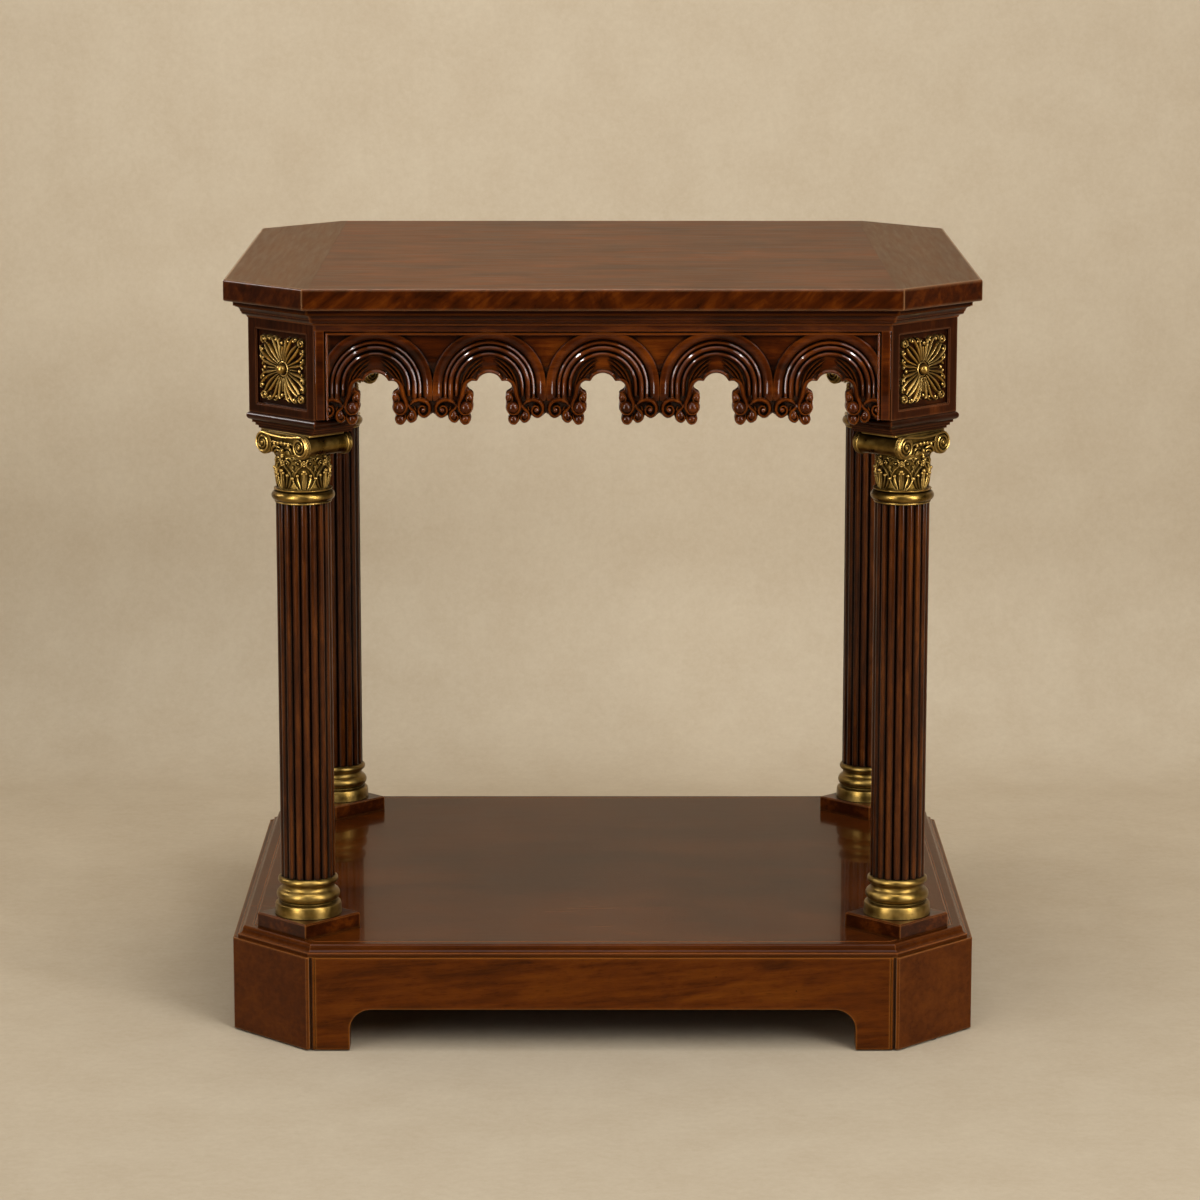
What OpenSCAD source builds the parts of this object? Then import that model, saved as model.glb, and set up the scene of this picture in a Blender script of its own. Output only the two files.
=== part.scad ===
// Octagonal side table with a carved arcade apron, four reeded columns with brass
// capitals and bases, and a low platform on a box base with bracket cut-outs.
// Millimetres, +Z up, the front faces -Y, the origin is on the floor under the centre.

/* [Overall] */
// Width of the top and of the base, side to side
table_w = 696; // [600:2:820]
// Depth of the top and of the base, front to back
table_d = 612; // [520:2:720]
// Height of the top above the floor
table_h = 711; // [640:1:780]

/* [Table top] */
// Thickness of the slab
slab_t = 20; // [16:0.5:28]
// Length cut off each corner of the slab, along each side
slab_cut = 77; // [68:1:100]
// Radius of the slab's soft arrises
slab_arris_r = 2; // [0.5:0.25:4]
// Thickness of the veneer sheets
veneer_t = 0.8; // [0.6:0.1:1.5]
// Solid lipping left round the veneer
lipping_w = 2.6; // [2:0.2:8]
// Width of the cross-cut veneer bands at the two ends
band_w = 83; // [60:1:140]

/* [Cornice] */
// Height of the cornice under the slab
cornice_h = 15.5; // [12:0.5:22]
// Distance from the slab's edge back to the frieze
frieze_setback = 21.75; // [18:0.25:24]
// Distance from the slab's edge back to the cornice's top member
cornice_setback = 8.5; // [5:0.5:10]

/* [Frieze] */
// Height of the posts that show under the cornice
post_h = 87.5; // [80:0.5:110]
// Depth of a post behind the column's axis
post_back = 27; // [22:0.5:32]
// Width and height of the sunk panel in each post
post_panel_w = 68.5; // [64:0.5:72]
// Depth of the sunk panel
post_panel_sink = 4; // [2:0.25:6]
// Height of the post's rail under the sunk panel
post_panel_rise = 9; // [6:0.5:11]
// Thickness of the carved apron boards
apron_t = 20; // [17:0.5:26]
// Flat fascia of the apron under the cornice
fascia_h = 5.6; // [4:0.2:8]
// Flat stile of the apron beside each post
stile_w = 9.5; // [7:0.5:14]
// Width of the bead that frames the carving
bead_w = 2.6; // [2:0.2:4]
// Width of the quirk on each side of the bead
quirk_w = 1; // [0.6:0.1:1.5]

/* [Arcade] */
// Distance from one arch to the next
arch_pitch = 103; // [98:0.5:108]
// Height of the pendants' tips above or below the posts' lower ends
pendant_drop = 3.6; // [0:0.2:8]
// Height of the carved field over the arches' centres
arch_rise = 45.4; // [43:0.2:47]
// Depth of the sunk field behind the carving
field_sink = 5; // [4:0.25:6.5]
// Half the clear width between two pendants
gate_half_w = 15; // [12:0.5:17]
// Radius of the lobe at the head of each opening
head_lobe_r = 15.3; // [14.9:0.1:16]
// Radius of the ball scroll at each side of a pendant
ball_r = 6.8; // [5:0.2:7.6]
// Radius of the paired volutes in the middle of a pendant
pendant_volute_r = 5.6; // [4.6:0.2:6.4]

/* [Columns] */
// Distance from the slab's sides in to the columns' axes
column_inset = 71.5; // [68:0.5:78]
// Diameter over the reeds
shaft_d = 51.2; // [46:0.2:54]
// Number of reeds
reed_count = 18; // [14:1:24]
// Diameter of the plain spigot at each end
spigot_d = 30; // [24:1:34]
// Diameter of the tie rod
rod_d = 8; // [6:0.5:10]

/* [Capitals and brass bases] */
// Height of the abacus block over each capital
abacus_h = 15; // [13:0.5:20]
// Height of the brass capital
capital_h = 66.5; // [62:0.5:72]
// Distance of the volutes' centres from the axis, across the capital
volute_x = 25.5; // [24:0.5:28]
// Radius of the volutes
volute_r = 10.6; // [9:0.2:11.4]
// Half the length of the side rolls
roll_half_l = 25.5; // [23:0.5:27]
// Radius of the leaf basket
basket_r = 23.4; // [21:0.2:24.5]
// Radius of the necking ring
neck_r = 29.3; // [27.5:0.1:32]
// Height of the turned brass base
brass_base_h = 37; // [32:0.5:44]
// Radius of the brass base at its foot
brass_base_r = 31.3; // [29:0.1:33.5]

/* [Platform and base] */
// Side of the square plinth block under each column
plinth_w = 68; // [67.2:0.2:72]
// Height of the plinth blocks
plinth_h = 14.5; // [10:0.5:20]
// Height of the platform above the floor
platform_h = 100; // [94:1:110]
// Thickness of the platform board
platform_t = 18; // [15:0.5:22]
// Height of the platform's stepped edge over the base rails
edge_h = 10.5; // [8:0.5:12]
// Length cut off each corner of the base, along each side
base_cut = 73; // [66:1:90]
// Thickness of the base rails
rail_t = 22; // [18:0.5:26]
// Distance from a base corner to the bracket cut-out
foot_w = 40; // [30:1:70]
// Height of the bracket cut-out's top above the floor
bracket_h = 40; // [30:1:50]
// Radius of the bracket cut-out's corners
bracket_r = 20; // [8:1:24]
// Thickness of the glides
glide_t = 1.5; // [1:0.25:4]
// Diameter of the glides
glide_d = 16; // [10:1:17]

/* [Fits] */
// Clearance between a spigot or tongue and its hole, each side
fit = 0.2; // [0.1:0.05:0.4]
// Clearance round the tie rods, each side
rod_fit = 0.6; // [0.4:0.1:1]

/* [Hidden] */
$fn = 64;
CORNERS = ["front_left", "front_right", "back_right", "back_left"];
CORNER_SIGN = [[-1, -1], [1, -1], [1, 1], [-1, 1]];
CORNER_TURN = [-45, 45, 135, 225];
SIDES = ["front", "right", "back", "left"];

root2 = sqrt(2);
mahogany = "#5a2812";
dark_mahogany = "#43200f";
inner_wood = "#a07a4c";
brass = "#a5843f";
steel = "#8c8f91";
felt = "#3b352e";

slab_z = table_h - slab_t;
frieze_top = slab_z - cornice_h;
post_z = frieze_top - post_h;
abacus_z = post_z - abacus_h;
capital_z = abacus_z - capital_h;
plinth_top = platform_h + plinth_h;
shaft_z = plinth_top + brass_base_h;
rail_top = platform_h - edge_h;
board_z = platform_h - platform_t;

column_x = table_w / 2 - column_inset;
column_y = table_d / 2 - column_inset;
frieze_w = table_w - 2 * frieze_setback;
frieze_d = table_d - 2 * frieze_setback;
frieze_cut = slab_cut - frieze_setback * (2 - root2);
// Length of the half sections, longer than any span they are set on
section_l = table_w + table_d;
// Distance from a column's axis out to the post's cut face, and half that face's width
post_front = (frieze_w / 2 - column_x + frieze_d / 2 - column_y - frieze_cut) / root2;
post_half_w = frieze_cut / root2;

// How much softer the slab's arrises are at the cut corners
corner_softer = 0.15;

// Veneer: the joint between two sheets, and where the end bands begin
veneer_gap = 0.05;
band_x = table_w / 2 - band_w;

// Tongues at the ends of the aprons
tongue_t = 7;
tongue_l = 12;
tongue_h = 50;
tongue_z = post_z + 20;
// Quirk down the joint between an apron and a post
joint_quirk = 1.6;

// Rosette: size, boss, leaves' hub, beaded tips and the two studs on its back
rosette_w = 60;
rosette_t = 5;
boss_r = 5;
rosette_hub_r = 13;
bead_leaf_r = 2.6;
stud_d = 4;
stud_l = 8;
stud_pitch = 24;
rosette_z = post_z + post_panel_rise + post_panel_w / 2;
rosette_back = -post_front + post_panel_sink;

// Carved field: the frame round it, its top, the pendants' tips and the arches' centres
frame_w = 2 * quirk_w + bead_w;
field_top = frieze_top - fascia_h - frame_w;
tip_z = post_z - pendant_drop;
arch_z = field_top - arch_rise;
// Middles of the three rolls, measured out from the arch's centre, and half their widths
ogive_r = arch_pitch / 2;
roll_a_r = ogive_r - 5.2;
roll_b_r = ogive_r - 15.2;
roll_c_r = ogive_r - 23;
roll_a_half = 5;
roll_b_half = 4.7;
roll_c_half = 2.6;
// Height of the ground between the rolls over the sunk field, and lower end of their stems
roll_ground = 0.8;
stem_z = tip_z + 19;
// Centre of an opening's lobed head, and the rim round it
head_z = arch_z + 10.7 - head_lobe_r;
rim_r = 1.7;
// Half the width of a pendant and the depth of its face
pendant_half = ogive_r - gate_half_w;
pendant_sink = field_sink - 1.6;
// Scrolls of a pendant: distance from its axis, height and radius
ball_v = pendant_half - ball_r - 0.6;
ball_z = tip_z + ball_r + 9;
tip_r = 4.8;
tip_v = pendant_half - 6.6;
bud_r = 4.6;
bud_v = 17.6;
bud_z = tip_z + 6.6;
volute_v = 7.2;
volute_z = tip_z + 6.4 + pendant_volute_r;
curl_r = 4.2;

// Abacus: how far its bead stands proud of the post, and half width and front of its foot
abacus_proud = 2;
abacus_top_h = 7.5;
abacus_low_half = 34.8;
abacus_low_front = 19;
abacus_l = 2 * (post_half_w + post_back);

// Capital: top plate, height of the necking, middle of the rolls and top of the basket
plate_t = 2.6;
neck_h = 13;
roll_z = capital_h - volute_r - 0.6;
basket_top = roll_z - 2;
pearl_r = 2.1;

// Platform's edge: setback and radius of its arris, the cove and the member under it, and the
// line scribed behind the arris
platform_setback = 9;
platform_arris_r = 2.6;
edge_step = 4.5;
cove_land = 1.2;
member_h = 3.2;
scribe_in = 9.5;
scribe_w = 1.2;
scribe_sink = 0.8;

// Base: turn of a corner piece onto the rails' faces, beaded joint and splines
post_return = 3;
rail_quirk = 2.4;
rail_bead_r = 1.5;
spline_t = 6;
spline_l = 7;
// The glides stand under the middle of the corner pieces' thickness
glide_in = (2 * base_cut + post_return + rail_t) / 4;

// Glue blocks in the base, and blocks and screws under the top
glue_block_h = 42;
glue_block_leg = 150;
block_w = 30;
block_t = 22;
block_h = 24;
screw_d = 4;
screw_head_h = 2.4;
screw_bite = 12;

// Nuts and washers of the tie rods, the pocket for the upper ones and the rods' ends
nut_af = 13;
nut_h = 6.5;
washer_r = 9;
washer_t = 1.6;
nut_pocket = 20;
rod_end = 4;
low_washer_z = board_z - glue_block_h - washer_t;
high_washer_z = slab_z - nut_pocket;
rod_low = low_washer_z - nut_h - rod_end;
rod_high = high_washer_z + washer_t + nut_h + rod_end;

// Octagon of w by d with corners cut by c, drawn in by inset, from the front left round
function octagon(w, d, c, inset = 0) =
  let (x = w / 2 - inset, y = d / 2 - inset, k = c - inset * (2 - root2))
  [[k - x, -y], [x - k, -y], [x, k - y], [x, y - k],
   [x - k, y], [k - x, y], [-x, y - k], [-x, k - y]];

// Places its children at corner i, with the local -Y pointing out of the cut corner
module at_corner(i) {
  translate([CORNER_SIGN[i].x * column_x, CORNER_SIGN[i].y * column_y, 0])
    rotate([0, 0, CORNER_TURN[i]])
      children();
}

// Runs a section, drawn as x = distance in from the outline and y = height, along edge i
// of an octagon, with mitred ends; the section may be up to depth deep
module edge_run(i, w, d, c, depth, z0, h) {
  outer = octagon(w, d, c);
  inner = octagon(w, d, c, depth);
  a = outer[i];
  b = outer[(i + 1) % 8];
  run = norm(b - a);
  intersection() {
    translate([(a.x + b.x) / 2, (a.y + b.y) / 2, 0])
      rotate([0, 0, atan2(b.y - a.y, b.x - a.x)])
        rotate([90, 0, 90])
          linear_extrude(run, center = true)
            children();
    translate([0, 0, z0])
      linear_extrude(h)
        polygon([a, b, inner[(i + 1) % 8], inner[i]]);
  }
}

// Prism along Y with the half section of its children on both sides of a span
module span_prism(span, l) {
  rotate([90, 0, 0])
    linear_extrude(l, center = true)
      intersection() {
        translate([span / 2, 0])
          children();
        mirror([1, 0])
          translate([span / 2, 0])
            children();
      }
}

// Solid octagon with a moulded edge. The first child is the half section of the four long
// sides, left of x = 0 and reaching section_l in; the last child is that of the cut corners
module moulded_octagon(w, d, c) {
  l = w + d;
  diagonal = (w + d - 2 * c) / root2;
  intersection() {
    span_prism(w, l)
      children(0);
    rotate([0, 0, 90])
      span_prism(d, l)
        children(0);
    rotate([0, 0, 45])
      span_prism(diagonal, l)
        children($children - 1);
    rotate([0, 0, -45])
      span_prism(diagonal, l)
        children($children - 1);
  }
}

// Bar section from x = -l to 0 and y = 0 to t, with its two outer corners rounded
module soft_edge(l, t, r) {
  translate([-l, 0])
    square([l - r, t]);
  translate([-l, r])
    square([l, t - 2 * r]);
  for (y = [r, t - r])
    translate([-r, y])
      circle(r);
}

// Table top

module table_top() {
  color(mahogany)
    difference() {
      translate([0, 0, slab_z])
        moulded_octagon(table_w, table_d, slab_cut) {
          soft_edge(section_l, slab_t, slab_arris_r);
          soft_edge(section_l, slab_t, slab_arris_r + corner_softer);
        }
      translate([0, 0, table_h - veneer_t])
        linear_extrude(2 * veneer_t)
          polygon(octagon(table_w, table_d, slab_cut, lipping_w));
      at_top_blocks()
        translate([0, 0, -0.1])
          cylinder(d = screw_d, h = screw_bite + 0.1);
    }
}

// Veneer sheets lie in the slab's recess; x0 and x1 bound the sheet across the top
module veneer_sheet(x0, x1) {
  translate([0, 0, table_h - veneer_t])
    linear_extrude(veneer_t)
      intersection() {
        polygon(octagon(table_w, table_d, slab_cut, lipping_w + veneer_gap));
        translate([x0, -table_d / 2])
          square([x1 - x0, table_d]);
      }
}

module field_veneer() {
  color(mahogany)
    veneer_sheet(veneer_gap - band_x, band_x - veneer_gap);
}

module end_veneer(side) {
  color(dark_mahogany)
    mirror([side < 0 ? 1 : 0, 0, 0])
      veneer_sheet(band_x, table_w / 2);
}

// Cornice: fillet, quirk, cavetto, step and a small ogee down to the frieze

module cornice_section() {
  h = cornice_h;
  d = frieze_setback - cornice_setback;
  fillet = 0.29 * h;
  cove = 0.34 * d;
  ogee = 0.16 * h;
  translate([cornice_setback, slab_z - h]) {
    translate([0, h - fillet])
      square([d, fillet]);
    translate([0.14 * d, h - fillet - 0.06 * h])
      square([0.86 * d, 0.1 * h]);
    difference() {
      translate([0.14 * d, h - fillet - 0.06 * h - cove])
        square([0.86 * d, cove + 0.01]);
      translate([0.14 * d, h - fillet - 0.06 * h - cove])
        circle(cove);
    }
    translate([0.55 * d, 2 * ogee])
      square([0.45 * d, 0.36 * h]);
    translate([0.55 * d + ogee, 2 * ogee])
      circle(ogee);
    translate([0.55 * d + ogee, 0])
      difference() {
        square([0.45 * d - ogee, 3 * ogee]);
        circle(ogee);
      }
  }
}

module cornice(i) {
  color(mahogany)
    edge_run(i, table_w, table_d, slab_cut, frieze_setback, frieze_top, cornice_h)
      cornice_section();
}

// Frieze posts: a block set square to the cut corner, with a sunk panel in its face

module post(i) {
  h = slab_z - post_z;
  panel_z = post_z + post_panel_rise;
  color(dark_mahogany)
    difference() {
      at_corner(i)
        difference() {
          translate([-post_half_w, -post_front, post_z])
            cube([2 * post_half_w, post_front + post_back, h]);
          translate([-post_panel_w / 2, -post_front - 1, panel_z])
            cube([post_panel_w, 1 + post_panel_sink, post_panel_w]);
          translate([-post_panel_w / 2 - 1, -post_front - 1, panel_z - 1])
            cube([post_panel_w + 2, 2, post_panel_w + 2]);
          translate([0, 0, post_z - 1])
            cylinder(r = rod_d / 2 + rod_fit, h = h + 2);
          translate([0, 0, slab_z - nut_pocket])
            cylinder(r = washer_r + 1, h = nut_pocket + 1);
          rosette_studs(fit, 1);
        }
      for (side = [0:3])
        on_side(side)
          tongues(side, fit);
    }
}

// Rosettes: cast brass leaves round a domed boss, held by two studs cast on the back

module rosette_studs(grow, extra) {
  for (x = [-stud_pitch / 2, stud_pitch / 2])
    translate([x, rosette_back - extra, rosette_z])
      rotate([-90, 0, 0])
        cylinder(d = stud_d + 2 * grow, h = stud_l + extra + grow);
}

// Pointed leaf along +X from the origin, where two circles overlap
module leaf_outline(l, w) {
  r = (l * l / 4 + w * w / 4) / w;
  intersection_for (s = [-1, 1])
    translate([l / 2, s * (r - w / 2)])
      circle(r);
}

// Leaves of the rosette in plan round a hub: four long ones to the corners, four short ones
// between them and eight narrow ones, each a share of its full width and length
module rosette_leaves(wide, long, hub) {
  half = rosette_w / 2;
  circle(hub);
  for (k = [0:3]) {
    rotate(45 + 90 * k)
      leaf_outline(half * 1.32 * long, half * 0.5 * wide);
    rotate(90 * k)
      leaf_outline(half * long, half * 0.42 * wide);
    for (s = [-1, 1])
      rotate(45 + 90 * k + s * 22.5)
        leaf_outline(half * 1.06 * long, half * 0.27 * wide);
  }
}

// Ball of radius r with its centre rise above the ground, cut flat on the ground
module dome(r, rise) {
  rotate_extrude()
    intersection() {
      translate([0, rise])
        circle(r);
      square([r, r + rise]);
    }
}

module rosette(i) {
  color(brass)
    at_corner(i) {
      translate([0, rosette_back, rosette_z])
        rotate([90, 0, 0]) {
          linear_extrude(2.4)
            rosette_leaves(1, 1, rosette_hub_r);
          linear_extrude(3.6)
            rosette_leaves(0.55, 0.9, rosette_hub_r - 2);
          for (k = [0:3])
            rotate([0, 0, 45 + 90 * k])
              translate([rosette_w * 0.62, 0, 0])
                dome(bead_leaf_r, 1);
          cylinder(r = boss_r + 1.4, h = 4.2);
          dome(boss_r, rosette_t - 1.8);
        }
      rosette_studs(0, 0);
    }
}

// Carved aprons

// Places its children on a side's face: X along it, Y up, Z out of it
module on_side(side) {
  rotate([0, 0, 90 * side])
    translate([0, -(side % 2 == 0 ? frieze_d : frieze_w) / 2, 0])
      rotate([90, 0, 0])
        children();
}

// Length of the apron's face between the posts on a side
function apron_l(side) = (side % 2 == 0 ? frieze_w : frieze_d) - 2 * frieze_cut;

function arch_count(l) = max(1, round((l - 2 * (stile_w + frame_w)) / arch_pitch));

// Tongues at both ends of an apron, which the posts' mortises follow
module tongues(side, grow) {
  l = apron_l(side) - 2 * apron_t;
  for (s = [-1, 1])
    translate([s * (l / 2 + tongue_l / 2 + apron_t / 4), tongue_z + tongue_h / 2, -apron_t / 2])
      cube([tongue_l + apron_t / 2 + 2 * grow, tongue_h + 2 * grow, tongue_t + 2 * grow], center = true);
}

// Opening of one arch: a lobed head, two shoulders and the gate between the pendants
module arch_opening() {
  translate([0, head_z])
    circle(head_lobe_r);
  for (s = [-1, 1])
    translate([s * (gate_half_w - 0.3), arch_z - 2])
      circle(5.4);
  translate([-gate_half_w, tip_z - 20])
    square([2 * gate_half_w, arch_z - tip_z + 19]);
}

// Outline of one pendant round its own axis, from its shoulders down to the scrolls
module pendant_outline() {
  translate([-pendant_half + 5.5, tip_z + 16])
    square([2 * pendant_half - 11, arch_z - tip_z - 18]);
  translate([-pendant_half + 8, tip_z + 9])
    square([2 * pendant_half - 16, 12]);
  for (s = [-1, 1]) {
    translate([s * ball_v, ball_z])
      circle(ball_r);
    translate([s * tip_v, tip_z + tip_r])
      circle(tip_r);
    translate([s * bud_v, bud_z])
      circle(bud_r);
    translate([s * volute_v, volute_z])
      circle(pendant_volute_r);
    translate([s * (pendant_half - curl_r - 0.8), arch_z - 9])
      circle(curl_r);
  }
}

// Balls, buds and volutes that stand out of one pendant
module pendant_relief() {
  for (s = [-1, 1]) {
    translate([s * ball_v, ball_z, -pendant_sink])
      sphere(ball_r - 0.4);
    translate([s * tip_v, tip_z + tip_r, -pendant_sink - 0.8])
      sphere(tip_r - 0.3);
    translate([s * bud_v, bud_z, -pendant_sink - 0.4])
      sphere(bud_r - 0.3);
    translate([s * volute_v, volute_z, -pendant_sink - 1]) {
      cylinder(r = pendant_volute_r - 0.4, h = 3);
      translate([0, 0, 3])
        sphere(2.2);
    }
  }
}

// Section of the roll mouldings round an arch, drawn out from the arch's centre along +X and
// up from the sunk field
module roll_section() {
  intersection() {
    union() {
      translate([roll_c_r - 2, -1])
        square([roll_a_r - roll_c_r + 6, 1 + roll_ground]);
      translate([roll_a_r, -0.6])
        circle(roll_a_half);
      translate([roll_b_r, 0])
        circle(roll_b_half);
      translate([roll_c_r, 0])
        circle(roll_c_half);
    }
    translate([0, -1])
      square([ogive_r, 1 + field_sink]);
  }
}

// Roll mouldings round one arch: a half ring and the two straight stems under it
module arch_rolls() {
  translate([0, arch_z, -field_sink]) {
    intersection() {
      rotate_extrude(angle = 180)
        roll_section();
      translate([-ogive_r, 0, -2])
        cube([arch_pitch, field_top - arch_z, 2 * field_sink]);
    }
    for (s = [0, 1])
      mirror([s, 0, 0])
        rotate([90, 0, 0])
          linear_extrude(arch_z - stem_z)
            roll_section();
  }
}

// Thin rim over the lobed head of an opening
module head_rim() {
  translate([0, head_z, -field_sink])
    rotate([0, 0, 32])
      rotate_extrude(angle = 116)
        translate([head_lobe_r + rim_r + 0.5, 0])
          circle(rim_r);
}

// Carved field of one apron, cut to the panel between its stiles
module carved_field(l) {
  panel_l = l - 2 * (stile_w + frame_w);
  n = arch_count(l);
  start = -(n - 1) / 2 * arch_pitch;
  difference() {
    translate([-panel_l / 2 - 1, arch_z - 8, -apron_t])
      cube([panel_l + 2, field_top - arch_z + 9, apron_t - field_sink]);
    for (k = [0:n - 1])
      translate([start + k * arch_pitch, 0, -apron_t - 1])
        linear_extrude(2 * apron_t)
          arch_opening();
  }
  for (k = [0:n - 1])
    within_panel(panel_l, abs(start + k * arch_pitch) + ogive_r)
      translate([start + k * arch_pitch, 0, 0]) {
        arch_rolls();
        head_rim();
      }
  for (k = [0:n])
    within_panel(panel_l, abs(start + (k - 0.5) * arch_pitch) + pendant_half)
      translate([start + (k - 0.5) * arch_pitch, 0, 0]) {
        translate([0, 0, -apron_t])
          linear_extrude(apron_t - pendant_sink)
            pendant_outline();
        pendant_relief();
      }
}

// Cuts its children off at the panel's ends where their reach passes them
module within_panel(panel_l, reach) {
  if (reach > panel_l / 2)
    intersection() {
      translate([-panel_l / 2 - 0.5, tip_z - 1, -apron_t - 1])
        cube([panel_l + 1, field_top - tip_z + 1, 2 * apron_t]);
      children();
    }
  else
    children();
}

// Fascia, stiles and bead frame round the carved field
module apron_frame(l) {
  panel_l = l - 2 * (stile_w + frame_w);
  post_low = post_z + 1;
  difference() {
    union() {
      translate([-l / 2, field_top, -apron_t])
        cube([l, slab_z - field_top, apron_t]);
      for (s = [0, 1])
        mirror([s, 0, 0])
          translate([panel_l / 2, post_low, -apron_t])
            cube([(l - panel_l) / 2, field_top - post_low, apron_t]);
    }
    translate([-panel_l / 2 - frame_w, post_low - 1, -bead_w / 2 - 0.4])
      difference() {
        cube([panel_l + 2 * frame_w, field_top - post_low + 1 + frame_w, apron_t]);
        translate([frame_w, -1, -1])
          cube([panel_l, field_top - post_low + 2, apron_t + 2]);
      }
  }
  bead_r = bead_w / 2;
  translate([0, field_top + quirk_w + bead_r, -bead_r])
    rotate([0, 90, 0])
      cylinder(r = bead_r, h = panel_l + 2 * quirk_w + bead_w, center = true);
  for (s = [-1, 1])
    translate([s * (panel_l / 2 + quirk_w + bead_r), post_low, -bead_r])
      rotate([-90, 0, 0])
        cylinder(r = bead_r, h = field_top - post_low + quirk_w + bead_r);
}

module apron(side) {
  l = apron_l(side);
  color(mahogany)
    on_side(side) {
      carved_field(l);
      difference() {
        intersection() {
          apron_frame(l);
          rotate([-90, 0, 0])
            translate([0, 0, tip_z - 1])
              linear_extrude(slab_z - tip_z + 1)
                polygon([[-l / 2 - 8, -8], [l / 2 + 8, -8], [l / 2, 0], [l / 2 - apron_t, apron_t],
                         [apron_t - l / 2, apron_t], [-l / 2, 0]]);
        }
        for (s = [-1, 1])
          translate([s * l / 2, post_z - 1, 0])
            joint_groove();
      }
      tongues(side, 0);
    }
}

// Narrow quirk down the joint between an apron and a post
module joint_groove() {
  rotate([-90, 0, 0])
    cylinder(r = joint_quirk, h = frieze_top - post_z + 1);
}

// Abacus: an inverted cornice on the front and both flanks of the post's lower end

// Half section of an abacus whose foot stands reach in from its top: a bead over three steps
module abacus_section(reach) {
  bead = abacus_top_h / 2;
  low_h = abacus_h - abacus_top_h;
  step = (reach - bead) / 3;
  translate([-abacus_l, low_h])
    square([abacus_l - bead, abacus_top_h]);
  translate([-bead, low_h + bead])
    circle(bead);
  for (k = [0:2])
    translate([-abacus_l, low_h * (2 - k) / 3])
      square([abacus_l - bead - k * step, low_h / 3]);
}

module abacus(i) {
  span = 2 * (post_half_w + abacus_proud);
  front = post_front + abacus_proud;
  color(dark_mahogany)
    at_corner(i)
      translate([0, 0, abacus_z])
        difference() {
          intersection() {
            span_prism(span, abacus_l)
              abacus_section(span / 2 - abacus_low_half);
            translate([0, -front, 0])
              rotate([90, 0, -90])
                linear_extrude(span, center = true)
                  intersection() {
                    abacus_section(front - abacus_low_front);
                    translate([-front - post_back, 0])
                      square([front + post_back, abacus_h]);
                  }
          }
          cylinder(r = rod_d / 2 + rod_fit, h = 3 * abacus_h, center = true);
        }
}

// Capital: one hollow casting with volutes, side rolls, cushion, leaf basket and necking

// Side roll of the capital along its own Z: a drum that flares at both ends
module side_roll() {
  drum_r = volute_r - 1.6;
  lip = 3;
  flare = 7;
  rotate_extrude()
    polygon([[0, -roll_half_l], [volute_r, -roll_half_l], [volute_r, lip - roll_half_l],
             [drum_r, lip + flare - roll_half_l], [drum_r, roll_half_l - lip - flare],
             [volute_r, roll_half_l - lip], [volute_r, roll_half_l], [0, roll_half_l]]);
}

// Spiral end of a side roll, as two rings round an eye
module volute_face() {
  rotate_extrude() {
    translate([volute_r - 1.8, 0])
      circle(1.3);
    translate([volute_r - 5.4, 0])
      circle(1.1);
  }
  sphere(2.2);
}

module capital_body() {
  plate_half = volute_x + volute_r - 1.6;
  plate_front = roll_half_l - 4.5;
  cushion_half = volute_x - 3;
  cushion_front = roll_half_l - 2;
  translate([-plate_half, -plate_front, capital_h - plate_t])
    cube([2 * plate_half, 2 * plate_front, plate_t]);
  translate([-cushion_half, -cushion_front, roll_z + 1])
    cube([2 * cushion_half, 2 * cushion_front, capital_h - plate_t / 2 - roll_z - 1]);
  for (s = [-1, 1])
    translate([s * volute_x, 0, roll_z])
      rotate([90, 0, 0]) {
        side_roll();
        for (e = [-1, 1])
          translate([0, 0, e * (roll_half_l - 0.3)])
            volute_face();
      }
  for (e = [-1, 1], k = [-2:2])
    translate([k * (2 * pearl_r + 1.2), e * cushion_front, roll_z + 3.6 - abs(k) * 0.5])
      sphere(pearl_r);
  rotate_extrude() {
    square([basket_r - 1.6, basket_top + 4]);
    translate([0, neck_h - 1])
      square([basket_r, 3]);
    translate([0, basket_top - 6])
      square([basket_r + 0.4, 8]);
    square([neck_r - 5, neck_h]);
    translate([neck_r - 6, 7])
      circle(6);
    square([neck_r - 2, 1.8]);
  }
  for (row = [0, 1])
    basket_leaves(neck_h + 1 + row * 11, basket_top - neck_h - 6 - row * 3, 13 - row * 2, 22.5 * row);
}

// Row of eight leaves on the basket: pointed outlines cut through a thick ring
module basket_leaves(z, l, w, turn) {
  intersection() {
    rotate_extrude()
      translate([basket_r - 4, z - 1])
        square([5.4 + turn / 60, l + 2]);
    for (k = [0:7])
      rotate([0, 0, 45 * k + turn])
        translate([0, 0, z])
          rotate([90, -90, 0])
            translate([0, 0, basket_r - 5])
              linear_extrude(8)
                leaf_outline(l, w);
  }
}

module capital(i) {
  color(brass)
    at_corner(i)
      translate([0, 0, capital_z])
        difference() {
          capital_body();
          translate([0, 0, -1])
            cylinder(d = spigot_d + 2 * fit, h = capital_h + 2);
        }
}

// Reeded column with a plain spigot at each end and a bore for its tie rod

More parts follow.
